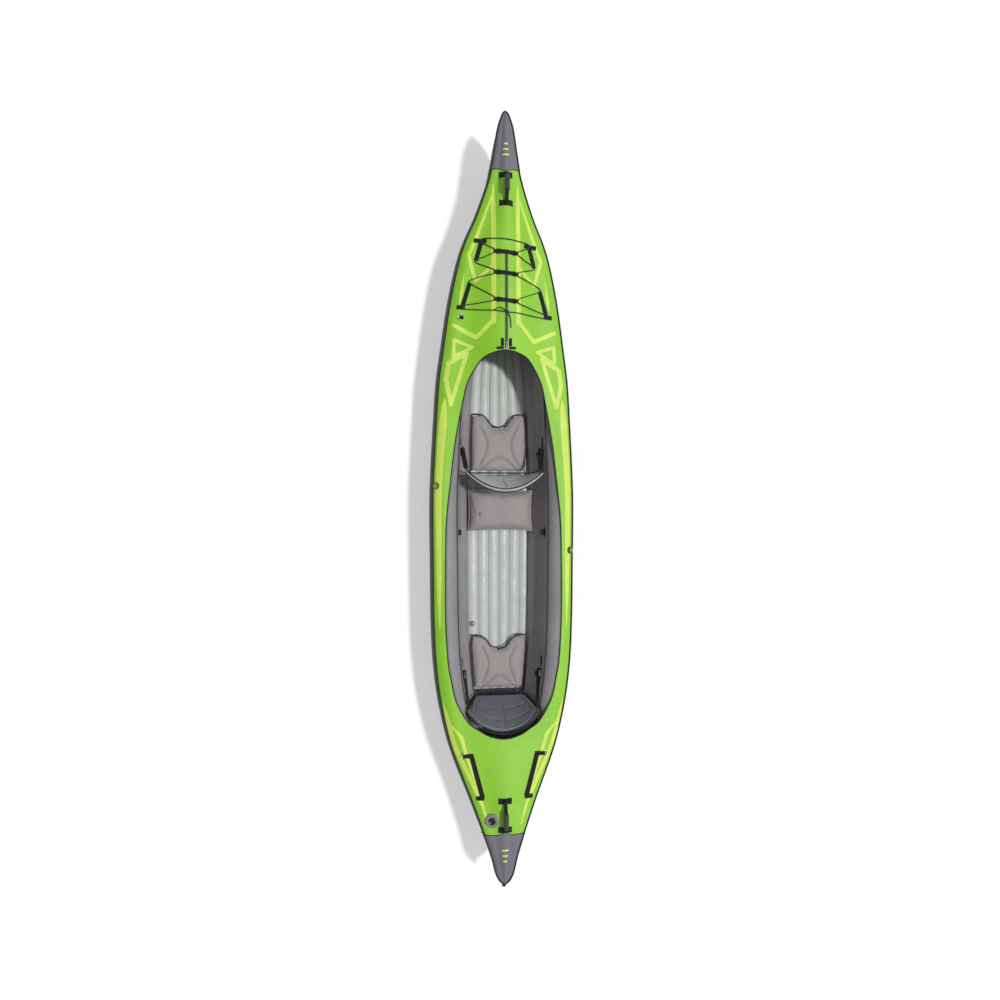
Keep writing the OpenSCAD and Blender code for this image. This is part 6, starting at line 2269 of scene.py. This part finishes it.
@dataclass
class Valves:
    """The four air valves and their turning caps."""

    side_angle: float = math.radians(52)

    def side_place(self, y: float, side: int) -> Placing:
        """Returns where a side valve stands and leans."""
        row = np.array([y])
        c, r = Hull.upper_c(row)[0], Hull.upper_r(row)[0] + 0.0005
        a = self.side_angle
        foot = (side * (c[0] + r * math.cos(a)), y, c[1] + r * math.sin(a))
        return Placing(foot, (side * math.sin(a), 0.0, -math.cos(a)), (0.0, side * 1.0, 0.0),
                       (side * math.cos(a), 0.0, math.sin(a)))

    @staticmethod
    def rounded(rows: list) -> Array:
        """Returns a turned profile in metres from millimetres."""
        return MM * np.array(rows, float)

    def small(self, kit: Finishes, at: Placing, name: str, nodes: tuple, body: str, scale: float, finish: str,
              seat: Stock, lugs: Stock) -> None:
        """Makes a small valve's cap and adds its seat to the others.

        Args:
            kit: the finishes.
            at: where it stands.
            name: the cap's name.
            nodes: the node that the cap replaces.
            body: the cap's body.
            scale: its size beside a side valve.
            finish: the cap's finish.
            seat: takes the black seat.
            lugs: takes the ring of ribs on the seat.
        """
        k = scale
        seat.turned(self.rounded([(0, -0.5), (21 * k, -0.5), (21.5 * k, 1.0), (20.6 * k, 3.2), (19 * k, 4.4),
                                  (17.2 * k, 5.6), (13.0 * k, 6.0), (12.3 * k, 5.4), (12.3 * k, 2.0),
                                  (0, 2.0)]), at)
        lugs.ribs(at, 24, (18.2 * k, 4.2), (20.4 * k, 3.0), 0.0008 * k, at.z)
        cap = Stock()
        cap.turned(self.rounded([(0, 2.4), (11.4 * k, 2.4), (11.4 * k, 6.1), (15.2 * k, 6.3), (16.0 * k, 7.2),
                                 (16.0 * k, 11.4), (15.2 * k, 12.7), (13.4 * k, 13.2), (5.0 * k, 13.4),
                                 (0, 13.4)]), at)
        cap.block((-0.0024 * k, -0.013 * k, 0.0128), (0.0024 * k, 0.013 * k, 0.0168), at, 0.0012)
        cap.ribs(at, 20, (16.0 * k, 7.6), (16.0 * k, 11.2), 0.0007, at.x)
        piece(cap.build(name), kit, finish, nodes, body)

    def build(self, kit: Finishes) -> None:
        """Makes the valves."""
        seat, lugs = Stock(), Stock()
        self.small(kit, self.side_place(0.088, -1), "side_cap_port_disc", ("side_valve_cap_port",),
                   "side_cap_port", 1.0, "cap_green", seat, lugs)
        self.small(kit, self.side_place(-0.296, 1), "side_cap_starboard_disc", ("side_valve_cap_starboard",),
                   "side_cap_starboard", 1.0, "cap_green", seat, lugs)
        piece(seat.build("side_valve_seats"), kit, "valve_black", ("side_valve_bodies",))
        floor_seat = Stock()
        self.small(kit, Placing((-0.160, -0.760, FLOOR_TOP + 0.0005)), "floor_cap_disc", ("floor_valve_cap",),
                   "floor_cap", 0.8, "valve_grey", floor_seat, lugs)
        piece(floor_seat.build("floor_valve_seat"), kit, "valve_grey", ("floor_valve_body",))
        piece(lugs.build("valve_seat_ribs"), kit, "valve_grey", ())

        tilt = math.radians(10)
        at = Placing((-0.076, -1.878, 0.3725), (math.cos(tilt), 0.0, math.sin(tilt)), (0.0, 1.0, 0.0),
                     (-math.sin(tilt), 0.0, math.cos(tilt)))
        body = Stock()
        body.turned(self.rounded([(0, -22), (17.4, -22), (17.4, 3.6), (18.6, 4.4), (24, 4.5), (26, 3.7),
                                  (28, 3.7), (30, 4.5), (37, 4.3), (40, 3.2), (41, 1.4), (41, 0), (22, 0),
                                  (22, -26), (0, -26)]), at, 64)
        body.ribs(at, 36, (31.5, 4.3), (37.5, 3.9), 0.0008, at.z)
        piece(body.build("stern_valve_flange"), kit, "valve_grey", ("stern_valve_body",))
        cap = Stock()
        cap.turned(self.rounded([(0, -6), (16.6, -6), (16.6, 4.5), (20.4, 4.6), (21, 5.4), (21, 8.0),
                                 (20.0, 9.1), (17.5, 9.4), (16.5, 8.6), (4, 8.4), (0, 8.4)]), at, 56)
        cap.block((-0.003, -0.0178, 0.0082), (0.003, 0.0178, 0.0138), at, 0.0015)
        cap.ribs(at, 30, (21, 5.4), (21, 8.0), 0.0007, at.x)
        piece(cap.build("stern_cap_disc"), kit, "valve_black", ("stern_valve_cap",), "stern_cap")


class Fittings:
    """Everything sewn or glued on the decks."""

    def build(self, kit: Finishes) -> None:
        """Makes the deck fittings."""
        lacing = Lacing()
        lacing.build(kit)
        Handle("bow_handle", 1, 0.440, 1.734, 1.902, 1.842, "bow_grip").build(kit, lacing)
        Handle("stern_handle", -1, 0.400, 1.762, 1.930, 1.870, "stern_grip").build(kit, lacing)
        Rings().build(kit)
        SternWebbing().build(kit, lacing)
        Zip().build(kit, lacing)
        Valves().build(kit)


NODE_FINISH = {
    "upper_tube_port": "bladder_film", "upper_tube_starboard": "bladder_film",
    "lower_tube_port": "bladder_film", "lower_tube_starboard": "bladder_film",
    "front_deck_lift": "bladder_film", "rear_deck_lift": "bladder_film",
    "bow_frame": "frame_alloy", "stern_frame": "frame_alloy",
    "bow_keel_plate": "keel_rubber", "stern_keel_plate": "keel_rubber", "tracking_fin": "keel_rubber",
    "zip_slider": "zip_metal", "zip_pull": "zip_metal",
}


def dress_nodes(kit: Finishes) -> None:
    """Gives the frame's own nodes that stay their finishes.

    Args:
        kit: the finishes.
    """
    for name, finish in NODE_FINISH.items():
        kit.dress(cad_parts[name], finish)
        log.info("%s keeps its frame shape", name)


def main() -> None:
    """Builds the studio and every sub-assembly in order."""
    logging.basicConfig(level=logging.INFO, format="%(name)s %(message)s")
    Studio().build()
    kit = Finishes()
    Deck().build(kit)
    Skins().build(kit)
    Cockpit().build(kit)
    Seating().build(kit)
    Fittings().build(kit)
    dress_nodes(kit)


if __name__ == "__main__":
    main()
